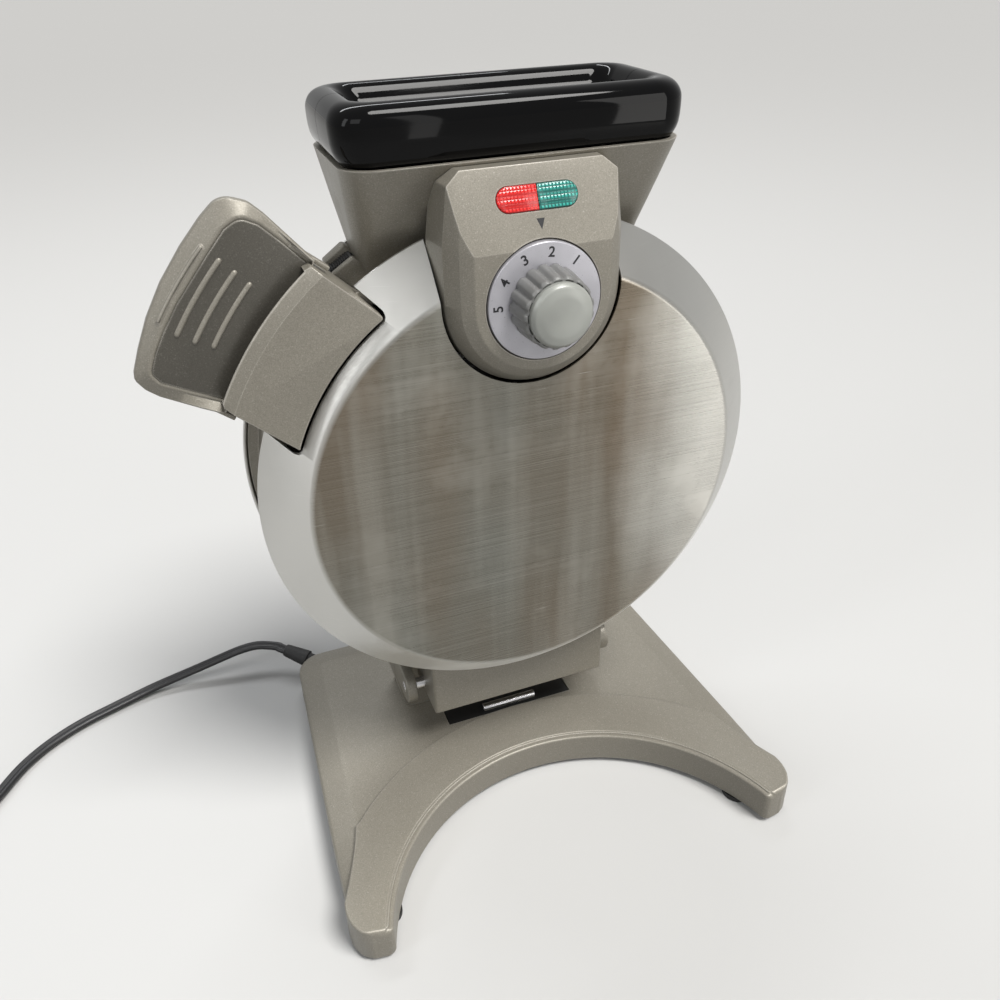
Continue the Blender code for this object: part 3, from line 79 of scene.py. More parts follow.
shift = Matrix.Translation
UPRIGHT = Matrix.Rotation(QUARTER, 4, "X")
SIDEWAYS = Matrix.Rotation(QUARTER, 4, "Y")
ACROSS = Matrix.Rotation(QUARTER, 4, "Z") @ UPRIGHT
CENTRE = shift((0, 0, DISC))
FRONT = CENTRE @ UPRIGHT
REAR = CENTRE @ Matrix.Rotation(-QUARTER, 4, "X")
HANDLE_ANGLE = radians(141.1)
OUT = Vector((cos(HANDLE_ANGLE), 0, sin(HANDLE_ANGLE)))
SIDE = Vector((sin(HANDLE_ANGLE), 0, -cos(HANDLE_ANGLE)))
HANDLE = CENTRE @ Matrix((OUT, SIDE, Vector((0, 1, 0)))).transposed().to_4x4()


def placed(name, data):
    """A new object in the scene."""
    made = bpy.data.objects.new(name, data)
    bpy.context.scene.collection.objects.link(made)
    return made


def as_mesh(name, shape):
    """A shape as a mesh. The shape is used up."""
    mesh = bpy.data.meshes.new(name)
    shape.to_mesh(mesh)
    shape.free()
    return mesh


def arc(centre, radius, start, end, steps):
    """Points on a circle between two angles in degrees."""
    angles = [radians(start + (end - start) * i / steps) for i in range(steps + 1)]
    return [(centre[0] + radius * cos(a), centre[1] + radius * sin(a)) for a in angles]


def soften(corners, closed=True, steps=5):
    """A path from corners (a, b) or (a, b, radius), its corners rounded."""
    made = []
    count = len(corners)
    for i, corner in enumerate(corners):
        here = Vector(corner[:2])
        radius = corner[2] if len(corner) > 2 else 0
        if not radius or (not closed and i in (0, count - 1)):
            made.append(tuple(here))
            continue
        before = Vector(corners[i - 1][:2]) - here
        after = Vector(corners[(i + 1) % count][:2]) - here
        half = before.angle(after) / 2
        cut = min(radius / tan(half), 0.49 * before.length, 0.49 * after.length)
        radius = cut * tan(half)
        before.normalize()
        after.normalize()
        centre = here + (before + after).normalized() * (radius / sin(half))
        first = here + before * cut - centre
        last = here + after * cut - centre
        start = atan2(first.y, first.x)
        turn = atan2(first.x * last.y - first.y * last.x, first.dot(last))
        for k in range(steps + 1):
            angle = start + turn * k / steps
            made.append((centre.x + radius * cos(angle), centre.y + radius * sin(angle)))
    return made


def lathe(path, closed=True, steps=LARGE_CIRCLE):
    """A path of (radius, height) turned about local Z."""
    shape = bmesh.new()
    verts = [shape.verts.new((r, 0, h)) for r, h in path]
    edges = [shape.edges.new(pair) for pair in zip(verts, verts[1:])]
    if closed:
        edges.append(shape.edges.new((verts[-1], verts[0])))
    about = {"axis": (0, 0, 1), "angle": TURN, "use_merge": True}
    bmesh.ops.spin(shape, geom=verts + edges, steps=steps, **about)
    bmesh.ops.remove_doubles(shape, verts=shape.verts, dist=1e-7)
    bmesh.ops.recalc_face_normals(shape, faces=shape.faces)
    return shape


def turned(corners, steps, corner_steps=5):
    """A solid turned about local Z, from corners that start and end on it."""
    return lathe(soften(corners, closed=False, steps=corner_steps), closed=False, steps=steps)


def prism(path, low, high):
    """A flat path in local X and Y, from low to high along local Z."""
    shape = bmesh.new()
    face = shape.faces.new([shape.verts.new((x, y, low)) for x, y in path])
    grown = bmesh.ops.extrude_face_region(shape, geom=[face])
    verts = [g for g in grown["geom"] if isinstance(g, bmesh.types.BMVert)]
    bmesh.ops.translate(shape, vec=(0, 0, high - low), verts=verts)
    bmesh.ops.recalc_face_normals(shape, faces=shape.faces)
    return shape


def loft(loops, ring=False):
    """Faces between loops of equal count, with closed ends, or as a ring."""
    shape = bmesh.new()
    order = shape.verts.layers.int.new("order")
    verts = [shape.verts.new(point) for point in loops[0]]
    for i, vert in enumerate(verts):
        vert[order] = i
    first = edges = [shape.edges.new(pair) for pair in zip(verts, verts[1:] + verts[:1])]
    for loop in loops[1:] + loops[:1] * ring:
        grown = bmesh.ops.extrude_edge_only(shape, edges=edges)["geom"]
        edges = [g for g in grown if isinstance(g, bmesh.types.BMEdge)]
        for vert in grown:
            if isinstance(vert, bmesh.types.BMVert):
                vert.co = loop[vert[order]]
    if ring:
        bmesh.ops.remove_doubles(shape, verts=shape.verts, dist=1e-7)
    else:
        bmesh.ops.edgeloop_fill(shape, edges=first)
        bmesh.ops.edgeloop_fill(shape, edges=edges)
    bmesh.ops.recalc_face_normals(shape, faces=shape.faces)
    return shape


def block(low, high):
    """A box between two corners."""
    low, high = Vector(low), Vector(high)
    shape = bmesh.new()
    bmesh.ops.create_cube(shape, size=1)
    bmesh.ops.scale(shape, vec=high - low, verts=shape.verts)
    bmesh.ops.translate(shape, vec=(low + high) / 2, verts=shape.verts)
    return shape


def rod(radius, length, steps=32):
    """A cylinder along local Z, its middle at zero."""
    shape = bmesh.new()
    size = {"radius1": radius, "radius2": radius, "depth": length}
    bmesh.ops.create_cone(shape, cap_ends=True, segments=steps, **size)
    return shape


def moved(shape, matrix):
    bmesh.ops.transform(shape, matrix=matrix, verts=shape.verts)
    return shape


def carve(shape, tool, operation="DIFFERENCE"):
    """A boolean of two shapes, which are used up."""
    pair = []
    for part in (shape, tool):
        bmesh.ops.recalc_face_normals(part, faces=part.faces)
        pair.append(placed("carve", as_mesh("carve", part)))
    cut = pair[0].modifiers.new("cut", "BOOLEAN")
    cut.object = pair[1]
    cut.operation = operation
    cut.solver = "EXACT"
    made = bmesh.new()
    made.from_object(pair[0], bpy.context.evaluated_depsgraph_get())
    for used in pair:
        bpy.data.batch_remove([used, used.data])
    return made


def bevel(shape, width, segments=3, limit=35, where=None):
    """Rounds the edges sharper than an angle, or those of them that a test picks."""
    edges = [
        e
        for e in shape.edges
        if len(e.link_faces) == 2
        and e.calc_face_angle(0) > radians(limit)
        and (where is None or where((e.verts[0].co + e.verts[1].co) / 2))
    ]
    kind = {"affect": "EDGES", "clamp_overlap": True, "material": -1}
    bmesh.ops.bevel(shape, geom=edges, offset=width, segments=segments, profile=0.5, **kind)
    return shape


def from_curve(made):
    """The shape of a curve or text object, which is used up."""
    bpy.context.view_layer.update()
    final = made.evaluated_get(bpy.context.evaluated_depsgraph_get())
    mesh = bpy.data.meshes.new_from_object(final)
    shape = bmesh.new()
    shape.from_mesh(mesh)
    bpy.data.meshes.remove(mesh)
    bpy.data.batch_remove([made, made.data])
    return shape


def join(*shapes):
    """Several shapes as one, not welded."""
    made = shapes[0]
    for other in shapes[1:]:
        mesh = as_mesh("join", other)
        made.from_mesh(mesh)
        bpy.data.meshes.remove(mesh)
    return made


def piece(name, shape, colour, body, node=None, sharp=30):
    """A finished shape, in the part's own frame, as a piece that moves with a body."""
    bmesh.ops.recalc_face_normals(shape, faces=shape.faces)
    mesh = as_mesh(name, shape)
    mesh.transform(shift(PLACE))
    mesh.shade_smooth()
    mesh.set_sharp_from_angle(angle=radians(sharp))
    mesh.materials.append(colour)
    made = placed(name, mesh)
    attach(made, body)
    if node:
        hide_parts(node)
    return made


class Shade:
    """A node material on a Principled shader, with the few node groups that the looks share."""

    def __init__(self, name, slot, colour, roughness, metallic=0.0, **more):
        self.made = bpy.data.materials.new(name)
        self.made.use_nodes = True
        self.made["slot"] = slot
        self.tree = self.made.node_tree
        self.shader = self.tree.nodes["Principled BSDF"]
        self.set("Base Color", colour)
        self.set("Roughness", roughness)
        self.set("Metallic", metallic)
        for key, value in more.items():
            self.set(key.replace("_", " "), value)
        self.where = self.node("ShaderNodeTexCoord").outputs["Object"]

    def feed(self, socket, value):
        """Gives a socket its number, colour, vector or wire."""
        if isinstance(value, tuple) and socket.type == "RGBA":
            value = (*value, 1)
        if isinstance(value, (int, float, tuple)):
            socket.default_value = value
        else:
            self.tree.links.new(value, socket)

    def set(self, socket, value):
        self.feed(self.shader.inputs[socket], value)

    def node(self, kind, inputs=(), **settings):
        """A new node. Its inputs are a dictionary by name, or a tuple in their order."""
        made = self.tree.nodes.new(kind)
        for key, value in settings.items():
            setattr(made, key, value)
        for key, value in inputs.items() if isinstance(inputs, dict) else enumerate(inputs):
            self.feed(made.inputs[key], value)
        return made

    def coords(self, stretch=(1, 1, 1), turn=(0, 0, 0)):
        inputs = {"Vector": self.where, "Scale": stretch, "Rotation": turn}
        return self.node("ShaderNodeMapping", inputs).outputs["Vector"]

    def noise(self, scale, stretch=(1, 1, 1), detail=3, rough=0.55, turn=(0, 0, 0)):
        inputs = {"Scale": scale, "Detail": detail, "Roughness": rough}
        inputs["Vector"] = self.coords(stretch, turn)
        return self.node("ShaderNodeTexNoise", inputs).outputs["Fac"]

    def spread(self, value, low, high, to_low=0.0, to_high=1.0):
        """A value from one range as a value in another, clamped."""
        inputs = {"Value": value, "From Min": low, "From Max": high}
        inputs.update({"To Min": to_low, "To Max": to_high})
        return self.node("ShaderNodeMapRange", inputs, clamp=True).outputs["Result"]

    def maths(self, kind, *values):
        return self.node("ShaderNodeMath", values, operation=kind).outputs["Value"]

    def mix(self, share, a, b):
        made = self.node("ShaderNodeMix", data_type="RGBA")
        for socket, value in zip([s for s in made.inputs if s.enabled], (share, a, b)):
            self.feed(socket, value)
        return next(s for s in made.outputs if s.enabled)

    def bump(self, height, strength, distance, normal=None):
        inputs = {"Height": height, "Strength": strength, "Distance": distance}
        if normal is not None:
            inputs["Normal"] = normal
        self.set("Normal", self.node("ShaderNodeBump", inputs).outputs["Normal"])

    def round_edges(self, radius):
        return self.node("ShaderNodeBevel", {"Radius": radius}, samples=4).outputs["Normal"]

    def edge_wear_and_highlight(self, radius, low, high):
        """1 on edges, 0 on flat faces."""
        plain = self.node("ShaderNodeNewGeometry").outputs["Normal"]
        normals = (self.round_edges(radius), plain)
        alike = self.node("ShaderNodeVectorMath", normals, operation="DOT_PRODUCT")
        return self.spread(self.maths("SUBTRACT", 1.0, alike.outputs["Value"]), low, high)


def taupe_paint(name, tone):
    """Moulded plastic with a fine metallic speckle, paler at its edges: partly rubbed wear, partly
    a painted highlight.
    """
    made = Shade(name, "taupe_plastic", (0.24, 0.222, 0.185), 0.4, 0.25)
    grain = made.noise(2200, detail=2)
    broad = made.noise(14, detail=3)
    flakes = made.node("ShaderNodeTexVoronoi", {"Vector": made.coords(), "Scale": 2600})
    spark = made.spread(flakes.outputs["Color"], 0.78, 0.95)
    low, high, shade = (
        tuple(tone * c for c in row)
        for row in ((0.205, 0.19, 0.157), (0.29, 0.27, 0.228), (0.18, 0.167, 0.138))
    )
    body = made.mix(made.spread(grain, 0.3, 0.7), low, high)
    body = made.mix(made.spread(broad, 0.35, 0.7, 0.0, 0.25), body, shade)
    body = made.mix(made.maths("MULTIPLY", spark, 0.3 * tone), body, (0.52, 0.5, 0.45))
    patches = made.spread(made.noise(60, detail=4), 0.3, 0.6, 0.35, 1.0)
    # Edges painted paler: part rubbed wear, part painted highlight where light catches them
    worn_and_highlit = made.maths("MULTIPLY", made.edge_wear_and_highlight(0.0009, 0.006, 0.09), patches)
    body = made.mix(made.maths("MULTIPLY", worn_and_highlit, 0.75), body, (0.6, 0.57, 0.51))
    made.set("Base Color", body)
    made.set("Roughness", made.spread(made.noise(35, detail=4), 0.3, 0.7, 0.33, 0.46))
    made.bump(grain, 0.35, 0.00012, made.round_edges(0.0005))
    return made.made


def steel():
    """Stainless sheet brushed along X: streaks, painted reflection (brownish patches and pale
    vertical bands), light smudges and a few scratches.
    """
    grooves = {"Anisotropic": 0.85, "Anisotropic_Rotation": 0.25}
    made = Shade("brushed_steel", "brushed_steel", (0.5, 0.48, 0.44), 0.24, 1.0, **grooves)
    made.set("Tangent", made.node("ShaderNodeCombineXYZ", {"X": 1}).outputs["Vector"])
    streaks = made.noise(1, (7, 60, 4200), detail=4, rough=0.7)
    broad = made.noise(1, (3, 8, 240), detail=4)
    smudge = made.noise(24, detail=6, rough=0.62)
    painted_reflection_tint = made.noise(9, (1.6, 1, 0.5), detail=2)
    bands = made.noise(1, (48, 1, 4), detail=3)
    scratch = made.noise(1, (35, 40, 1500), detail=2, turn=(0, 0.75, 0))
    body = made.mix(made.spread(streaks, 0.35, 0.65), (0.145, 0.145, 0.125), (0.225, 0.222, 0.2))
    # The tint patches paint in brownish reflection, and the bands paint vertical streaks of
    # reflected light
    for pattern, start, end, most, tone in (
        (broad, 0.35, 0.68, 0.28, (0.13, 0.13, 0.108)),
        (painted_reflection_tint, 0.38, 0.62, 0.65, (0.155, 0.11, 0.07)),
        (bands, 0.48, 0.66, 0.35, (0.34, 0.335, 0.3)),
        (smudge, 0.56, 0.72, 0.18, (0.36, 0.36, 0.335)),
        (scratch, 0.7, 0.76, 0.5, (0.62, 0.61, 0.58)),
    ):
        body = made.mix(made.spread(pattern, start, end, 0.0, most), body, tone)

    # Painted reflection: across the flat face the sheet is painted lighter to the right, and the
    # rim round it is painted bright as a highlight
    split = made.node("ShaderNodeSeparateXYZ", {"Vector": made.where})
    across = made.maths("SUBTRACT", split.outputs["X"], PLACE.x)
    upward = made.maths("SUBTRACT", split.outputs["Z"], DISC)
    wander = made.spread(made.noise(14, detail=3), 0.3, 0.7, -0.012, 0.012)
    painted_light_right = made.spread(made.maths("ADD", across, wander), 0.04, 0.088)
    body = made.mix(made.maths("MULTIPLY", painted_light_right, 0.75), body, (0.66, 0.65, 0.61))
    squares = [made.maths("MULTIPLY", way, way) for way in (across, upward)]
    reach = made.maths("SQRT", made.maths("ADD", *squares))
    # Painted highlight: the rim and the taper outside the flat face
    rim = made.spread(reach, 0.095, 0.0975)
    body = made.mix(made.maths("MULTIPLY", rim, 0.8), body, (0.64, 0.635, 0.61))
    made.set("Base Color", body)
    dulled = made.spread(smudge, 0.52, 0.75, 0.0, 0.14)
    rough = made.maths("ADD", made.spread(streaks, 0.3, 0.7, 0.2, 0.36), dulled)
    made.set("Roughness", made.maths("ADD", rough, made.maths("MULTIPLY", rim, 0.08)))
    height = made.maths("ADD", streaks, made.spread(scratch, 0.7, 0.8, 0.0, -0.6))
    made.bump(height, 0.22, 0.00005)
    return made.made


def gloss():
    """Deep black, with faint finger marks."""
    black = (0.0022, 0.0022, 0.0025)
    made = Shade("black_gloss", "black_gloss", black, 0.06, 0.0, Specular_IOR_Level=0.13)
    made.set("Roughness", made.spread(made.noise(28, detail=5), 0.45, 0.75, 0.04, 0.11))
    made.bump(made.noise(1, (300, 900, 900), detail=2), 0.03, 0.00004)
    return made.made


def dull(slot, colour, roughness, metallic=0.0, scale=900, strength=0.3, name=None):
    """A plain moulded or cast finish with a fine grain."""
    made = Shade(name or slot, slot, colour, roughness, metallic)
    grain = made.noise(scale, detail=3)
    broad = made.noise(30, detail=3)
    darker = tuple(0.75 * c for c in colour)
    lighter = tuple(min(1, 1.2 * c) for c in colour)
    made.set("Base Color", made.mix(made.spread(broad, 0.3, 0.7), darker, lighter))
    smooth, rough = 0.85 * roughness, min(1, 1.12 * roughness)
    made.set("Roughness", made.spread(grain, 0.3, 0.7, smooth, rough))
    made.bump(grain, strength, 0.0001)
    return made.made


def metal(name, colour, roughness):
    """Plain turned or stamped metal."""
    made = Shade(name, name, colour, roughness, 1.0)
    streaks = made.noise(1, (60, 900, 900), detail=3)
    made.set("Roughness", made.spread(streaks, 0.3, 0.7, 0.8 * roughness, 1.3 * roughness))
    made.bump(streaks, 0.12, 0.00004)
    return made.made


def lens(name, dark, bright, glow):
    """A lit lamp cover: a grid of small prisms under a clear coat."""
    made = Shade(name, name, dark, 0.22, 0.0, Coat_Weight=0.4, Coat_Roughness=0.05)
    squares = {"Vector": made.where, "Scale": 720, "Randomness": 0}
    grid = made.node("ShaderNodeTexVoronoi", squares, distance="CHEBYCHEV")
    dots = made.spread(grid.outputs["Distance"], 0.1, 0.45, 1.0, 0.0)
    broad = made.spread(made.noise(90, detail=1), 0.35, 0.65)
    made.set("Base Color", made.mix(dots, dark, bright))
    made.set("Emission Color", made.mix(made.maths("MULTIPLY", dots, broad), dark, bright))
    made.set("Emission Strength", glow)
    made.bump(dots, 0.5, 0.0003)
    return made.made


TAUPE = taupe_paint("taupe_paint", 1.0)
# Painted shade: the same taupe at about a third of its tone, for the paddle's face that lies in
# shade
SHADED_TAUPE = taupe_paint("taupe_painted_shade", 0.36)
STEEL = steel()
GLOSS = gloss()
BLACK = dull("black_plastic", (0.014, 0.014, 0.014), 0.42)
RUBBER = dull("black_rubber", (0.012, 0.012, 0.012), 0.62)
CORD = dull("black_rubber", (0.01, 0.01, 0.011), 0.38, 0.0, 1400, 0.15, "cord_rubber")
CAST = dull("dark_cast_metal", (0.045, 0.045, 0.047), 0.38, 0.5, 700, 0.4, "cast_plate")
METAL = metal("plain_metal", (0.6, 0.6, 0.61), 0.22)
DIAL = dull("dial_silver", (0.46, 0.455, 0.49), 0.32, 0.35, 1500, 0.12)
KNOB = dull("knob_grey", (0.22, 0.22, 0.215), 0.42, 0.15, 1300, 0.25)
CAP = dull("cap_grey", (0.35, 0.36, 0.335), 0.34, 0.1, 1500, 0.12)
CERAMIC = dull("ceramic", (0.7, 0.67, 0.61), 0.55)
RED = lens("red_lens", (0.36, 0.0, 0.0), (0.85, 0.02, 0.015), 0.42)
GREEN = lens("green_lens", (0.0, 0.09, 0.075), (0.03, 0.46, 0.38), 0.15)
INK = dull("black_plastic", (0.015, 0.015, 0.018), 0.5, 0.0, 1500, 0.1, "dial_ink")

# The foot: a round bay at its front, a raised band round the bay and a horn at each end of it
BAY = (0, -0.136)
BAY_RADIUS = 0.1
BAND_RADIUS = 0.129
BASE_TOP = 0.0203
EDGE_TOP = 0.0173
BASE_REAR = 0.0836
REAR_HALF = 0.1043267
HORN = (0.1141, -0.0914)
TIP_Y = -0.1113
TIP_REAR = -0.0985
TIP_ANGLE = degrees(asin((TIP_Y - BAY[1]) / BAY_RADIUS))
BAND_END = -0.0504
SLOPE = (HORN[0] - REAR_HALF) / (BASE_REAR - HORN[1])
BEVEL = 0.0125


def side_x(y):
    return REAR_HALF + SLOPE * (BASE_REAR - y)


def horn_inset(y, full):
    """How far the bevel line lies inside the outer side: nothing at the horn, all of it behind."""
    t = min(1, max(0, (y - HORN[1]) / (BAND_END - HORN[1])))
    return full * (1 - (1 - t) ** 1.32)


def base_plan(inset, bay_inset):
    """The foot's outline, drawn in by one measure outside and another in the bay."""
    bay = BAY_RADIUS + bay_inset
    tip_y = TIP_Y + bay_inset
    tip_angle = degrees(asin((tip_y - BAY[1]) / bay))
    tip_x = bay * cos(radians(tip_angle))
    right = arc(BAY, bay, 90, tip_angle, 48)[1:]
    horn = (HORN[0] + 0.0005 - bay_inset, TIP_REAR + 0.35 * bay_inset)
    corners = [right[-1] + (0.002,), (tip_x + 0.62 * (horn[0] - tip_x), tip_y, 0.004)]
    corners.append(horn + (0.005,))
    for i in range(1, 13):
        y = HORN[1] + (BAND_END - HORN[1]) * i / 12
        corners.append((side_x(y) - bay_inset - horn_inset(y, inset - bay_inset), y))
    line = soften([right[-2]] + corners, closed=False, steps=6)[1:]
    corner = max(0.015 - inset, 0.005)
    side = REAR_HALF + SLOPE * corner - inset
    line += arc((side - corner, BASE_REAR - inset - corner), corner, 0, 90, 10)
    half = right[:-1] + line
    other = [(-x, y) for x, y in reversed(half)]
    return [(0, BAY[1] + bay)] + half + [(0, BASE_REAR - inset)] + other


def rounding(radius, left):
    """How much a round end of this radius has fallen away, this far from its tip."""
    return radius - sqrt(radius**2 - (radius - left) ** 2) if left < radius else 0.0


def build_foot_body():
    section = [
        (0.003, 0.015), (0.003, 0.0025), (0.0008, 0.0025), (0.0, 0.0034, 0.0006),
        (0.0, EDGE_TOP, 0.0022), (BEVEL, BASE_TOP, 0.008), (0.02, BASE_TOP),
    ]
    levels = []
    for inset, z in soften(section, closed=False, steps=6):
        levels.append([(x, y, z) for x, y in base_plan(inset, 0.001 + 0.1 * inset)])
    body = carve(loft(levels), block((-0.036, -0.0054, 0.0167), (0.036, 0.0096, 0.03)))
    piece("foot_body", body, TAUPE, "stand", "base_shell", sharp=24)


def build_foot_band():
    """The raised band round the bay, with rounded tips."""
    inner = [Vector(p) for p in arc(BAY, BAY_RADIUS, 90, TIP_ANGLE, 72)]
    end_angle = degrees(atan2(BAND_END - BAY[1], side_x(BAND_END) - BEVEL))
    outer = arc(BAY, BAND_RADIUS, 90, end_angle, 60)
    for i in range(1, 21):
        y = BAND_END + (HORN[1] - BAND_END) * i / 20
        outer.append((side_x(y) - horn_inset(y, BEVEL), y))
    outer += [(0.1146, -0.095), (0.1145, -0.099), (0.1134, -0.103), (0.1113, -0.1068)]
    outer = [Vector(p) for p in outer + [(0.1084, -0.1098)]]
    reach = [0]
    for a, b in zip(outer, outer[1:]):
        reach.append(reach[-1] + (b - a).length)
    last = reach[-1]

    shares = [i / 60 for i in range(59)]
    shares += [1 - d / last for d in (0.0034, 0.0027, 0.002, 0.0014, 0.0008, 0.0003, 0.0)]
    half = []
    for share in sorted(shares):
        i = min(71, int(share * 72))
        a = inner[i].lerp(inner[i + 1], share * 72 - i)
        k = next((k for k in range(1, len(reach)) if share * last <= reach[k]), len(reach) - 1)
        t = (share * last - reach[k - 1]) / (reach[k] - reach[k - 1])
        b = outer[k - 1].lerp(outer[k], min(1, t))
        left = (1 - share) * last
        drawn, drop = rounding(0.0034, left), rounding(0.0025, left)
        across = (b - a).normalized()
        start, wide = a + across * drawn * 0.8, (b - a).length - 1.8 * drawn
        share_out = ((b - Vector(BAY)).length - BAY_RADIUS) / (BAND_RADIUS - BAY_RADIUS)
        top = BASE_TOP - drop
        profile = [
            (0.0, 0.0032), (0.0, top - 0.0009, 0.0011), (0.0025, top - 0.0007, 0.0004),
            (0.0034, top + 0.0002, 0.0005), (wide, top + 0.0028 * share_out, 0.0009),
            (wide, 0.0032), (wide - 0.0006, 0.0025), (0.0006, 0.0025),
        ]
        profile = soften(profile, steps=7)
        half.append([(start.x + across.x * u, start.y + across.y * u, v) for u, v in profile])
    other = [[(-x, y, z) for x, y, z in loop] for loop in half[:0:-1]]
    piece("foot_band", loft(other + half), TAUPE, "stand", "base_shell", sharp=24)


def build_bar():
    # Painted shadow: a black block fills the recess under the hinge block, whose darkness is
    # mostly shadow
    cradle = block((-0.0358, -0.0052, 0.017), (0.0358, 0.0094, 0.0199))
    piece("cradle", bevel(cradle, 0.0006), BLACK, "stand", "bar_cradle")
    end = 0.0153
    bar = turned([(0, end), (0.0023, end, 0.0006), (0.0023, -end, 0.0006), (0, -end)], 40)
    bar_low, bar_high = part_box("base_cross_bar")
    spot = shift((bar_low + bar_high) / 2 - PLACE)
    piece("cross_bar", moved(bar, spot @ SIDEWAYS), METAL, "stand", "base_cross_bar")


def room():
    """The space that one half takes, for cutting what stands beside it."""
    gap = 0.0003
    rim, drum, back = RIM + gap, DRUM + gap, SHELL_DEPTH + gap
    path = [
        (0, back), (FACE_RADIUS + gap, back), (rim, 0.0218), (rim, 0.0204),
        (drum, 0.0204), (drum, -0.01), (0, -0.01),
    ]
    return lathe(path, closed=False)


def rounded_box(half_width, half_depth, corner, height, steps=8, middle=0.0):
    """A level loop: a rectangle with round corners."""
    loop = []
    for i, (side, end) in enumerate(((1, 1), (-1, 1), (-1, -1), (1, -1))):
        centre = (side * (half_width - corner), end * (half_depth - corner))
        loop += arc(centre, corner, 90 * i, 90 * i + 90, steps)
    return [(x, y + middle, height) for x, y in loop]


def build_pedestal():
    section = [(0.054, 0.0205), (0.058, 0.042, 0.01), (0.058, 0.1)]
    section = soften(section, closed=False, steps=6)
    column = loft([rounded_box(w, 0.01475, 0.005, z, middle=0.03125) for w, z in section])
    cheek = [(0.0215, 0.0435)] + arc((0, HINGE_Z), 0.0085, 270, 90, 24) + [(0.0215, 0.0605)]
    for low, high in ((-0.0577, -0.0523), (0.0523, 0.0577)):
        part = bevel(moved(prism(cheek, low, high), ACROSS), 0.0007, 3, 60)
        column = carve(column, part, "UNION")
    column = carve(column, moved(room(), REAR))
    piece("pedestal_body", column, TAUPE, "stand", "pedestal")
    end = 0.058
    pin = turned([(0, end), (0.003, end, 0.0008), (0.003, -end, 0.0008), (0, -end)], 40)
    pin = moved(pin, shift((0, 0, HINGE_Z)) @ SIDEWAYS)
    piece("pin", pin, METAL, "stand", "hinge_pin")


def shell_shape():
    """One round cover, dished from its face to its rim."""
    path = [
        (0, SHELL_DEPTH), (FACE_RADIUS, SHELL_DEPTH, 0.0042), (0.1062, 0.03045),
        (RIM, 0.0219, 0.0006), (RIM, 0.0207, 0.0004), (0.1136, 0.0207, 0.0004),
        (0.1136, 0.0216), (0.0957, 0.0381, 0.003), (0, 0.0381),
    ]
    return turned(path, 256, corner_steps=8)


def build_shells():
    piece("rear_cover", moved(shell_shape(), REAR), STEEL, "stand", "rear_shell", sharp=50)
    front = moved(shell_shape(), FRONT)
    half = 0.0375
    notch = arc((0, DIAL_Z), half, 180, 360, 72) + [(half + 0.001, 0.33), (-half - 0.001, 0.33)]
    front = carve(front, moved(prism(notch, 0.015, 0.06), UPRIGHT))
    grip = [(0.15, 0.035), (0.0972, 0.0313, 0.005)] + arc((0, 0), 0.1016, 14, -16, 24)
    grip = soften(grip + [(0.0958, -0.0346, 0.004), (0.15, -0.035)], steps=8)
    front = carve(front, moved(prism(grip, -0.06, -0.0025), HANDLE))
    piece("front_cover", front, STEEL, "front_half", "front_shell", sharp=50)


def build_frames():
    """The plain bands between the covers, each with a shoulder beside the handle."""
    path = [
        (0.113, 0.0232), (0.113, 0.0214, 0.0003), (DRUM, 0.0214, 0.0008), (DRUM, 0.0025, 0.001),
        (0.097, 0.0025, 0.0004), (0.097, 0.005), (0.1055, 0.005), (0.1055, 0.0232),
    ]
    path = soften(path, steps=3)
    for name, matrix, body, low, high, step in (
        ("front", FRONT, "front_half", -0.0066, -0.0036, 0),
        ("rear", REAR, "stand", 0.0028, 0.0085, 0.001),
    ):
        chute = block((-0.0243, -0.0088, DISC), (0.0243, 0.0088, 0.321))
        ring = carve(moved(lathe(path), matrix), chute)
        base, top = 0.0292 + step, 0.0396 + step
        shoulder = [(0.098, base), (0.1148 + 2 * step, base), (0.1114 + 2.5 * step, top, 0.0014)]
        shoulder = prism(soften(shoulder + [(0.098, 0.0402 + step)]), low, high)
        shoulder = bevel(moved(shoulder, HANDLE), 0.001)
        piece(name + "_band", join(ring, shoulder), TAUPE, body, name + "_frame")


def build_gasket():
    """The ribbed seal between the halves, with an ear beside the handle."""
    seal, inside = 0.0022, 0.0973
    core = [(DRUM, seal, 0.0004), (DRUM, -seal, 0.0004), (inside, -seal), (inside, seal)]
    ribs = bmesh.new()
    count = 170
    for i in range(count):
        spot = Matrix.Rotation(TURN * i / count, 4, "Z") @ shift((0.1078, 0, 0))
        size = Matrix.Diagonal((0.0014, 0.0018, 0.0038, 1))
        bmesh.ops.create_cube(ribs, size=1, matrix=spot @ size)
    ear = [(0.098, 0.0292), (0.1146, 0.0292), (0.1112, 0.0392), (0.098, 0.0396)]
    ear = moved(prism(ear, -0.0035, 0.0027), HANDLE)
    lean = Matrix.Rotation(-0.33, 4, "Z")
    size = Matrix.Diagonal((0.0018, 0.0005, 0.0058, 1))
    for i in range(9):
        spot = shift((0.1141 - 0.00037 * i, 0.0302 + 0.001 * i, -0.0004)) @ lean
        bmesh.ops.create_cube(ear, size=1, matrix=HANDLE @ spot @ size)
    ring = moved(join(lathe(soften(core)), ribs), REAR)
    piece("gasket", join(ring, ear), RUBBER, "stand", "parting_gasket")


def spline(table, per_span=4):
    """Rows of a table, with smooth rows between them."""
    rows = [Vector(row) for row in table]
    held = [rows[0], *rows, rows[-1]]
    made = []
    for before, start, end, after in zip(held, held[1:], held[2:], held[3:]):
        for i in range(per_span):
            t = i / per_span
            made.append(
                (2 * start + t * (end - before)
                 + t * t * (2 * before - 5 * start + 4 * end - after)
                 + t * t * t * (3 * start - before - 3 * end + after)) / 2
            )
    return made + [rows[-1]]


def one_half(shape, side):
    """What lies on one side of the parting plane, a hair short of it."""
    low, high = (-0.00015, FAR) if side < 0 else (-FAR, 0.00015)
    return carve(shape, block((-FAR, low, 0), (FAR, high, 2 * FAR)))


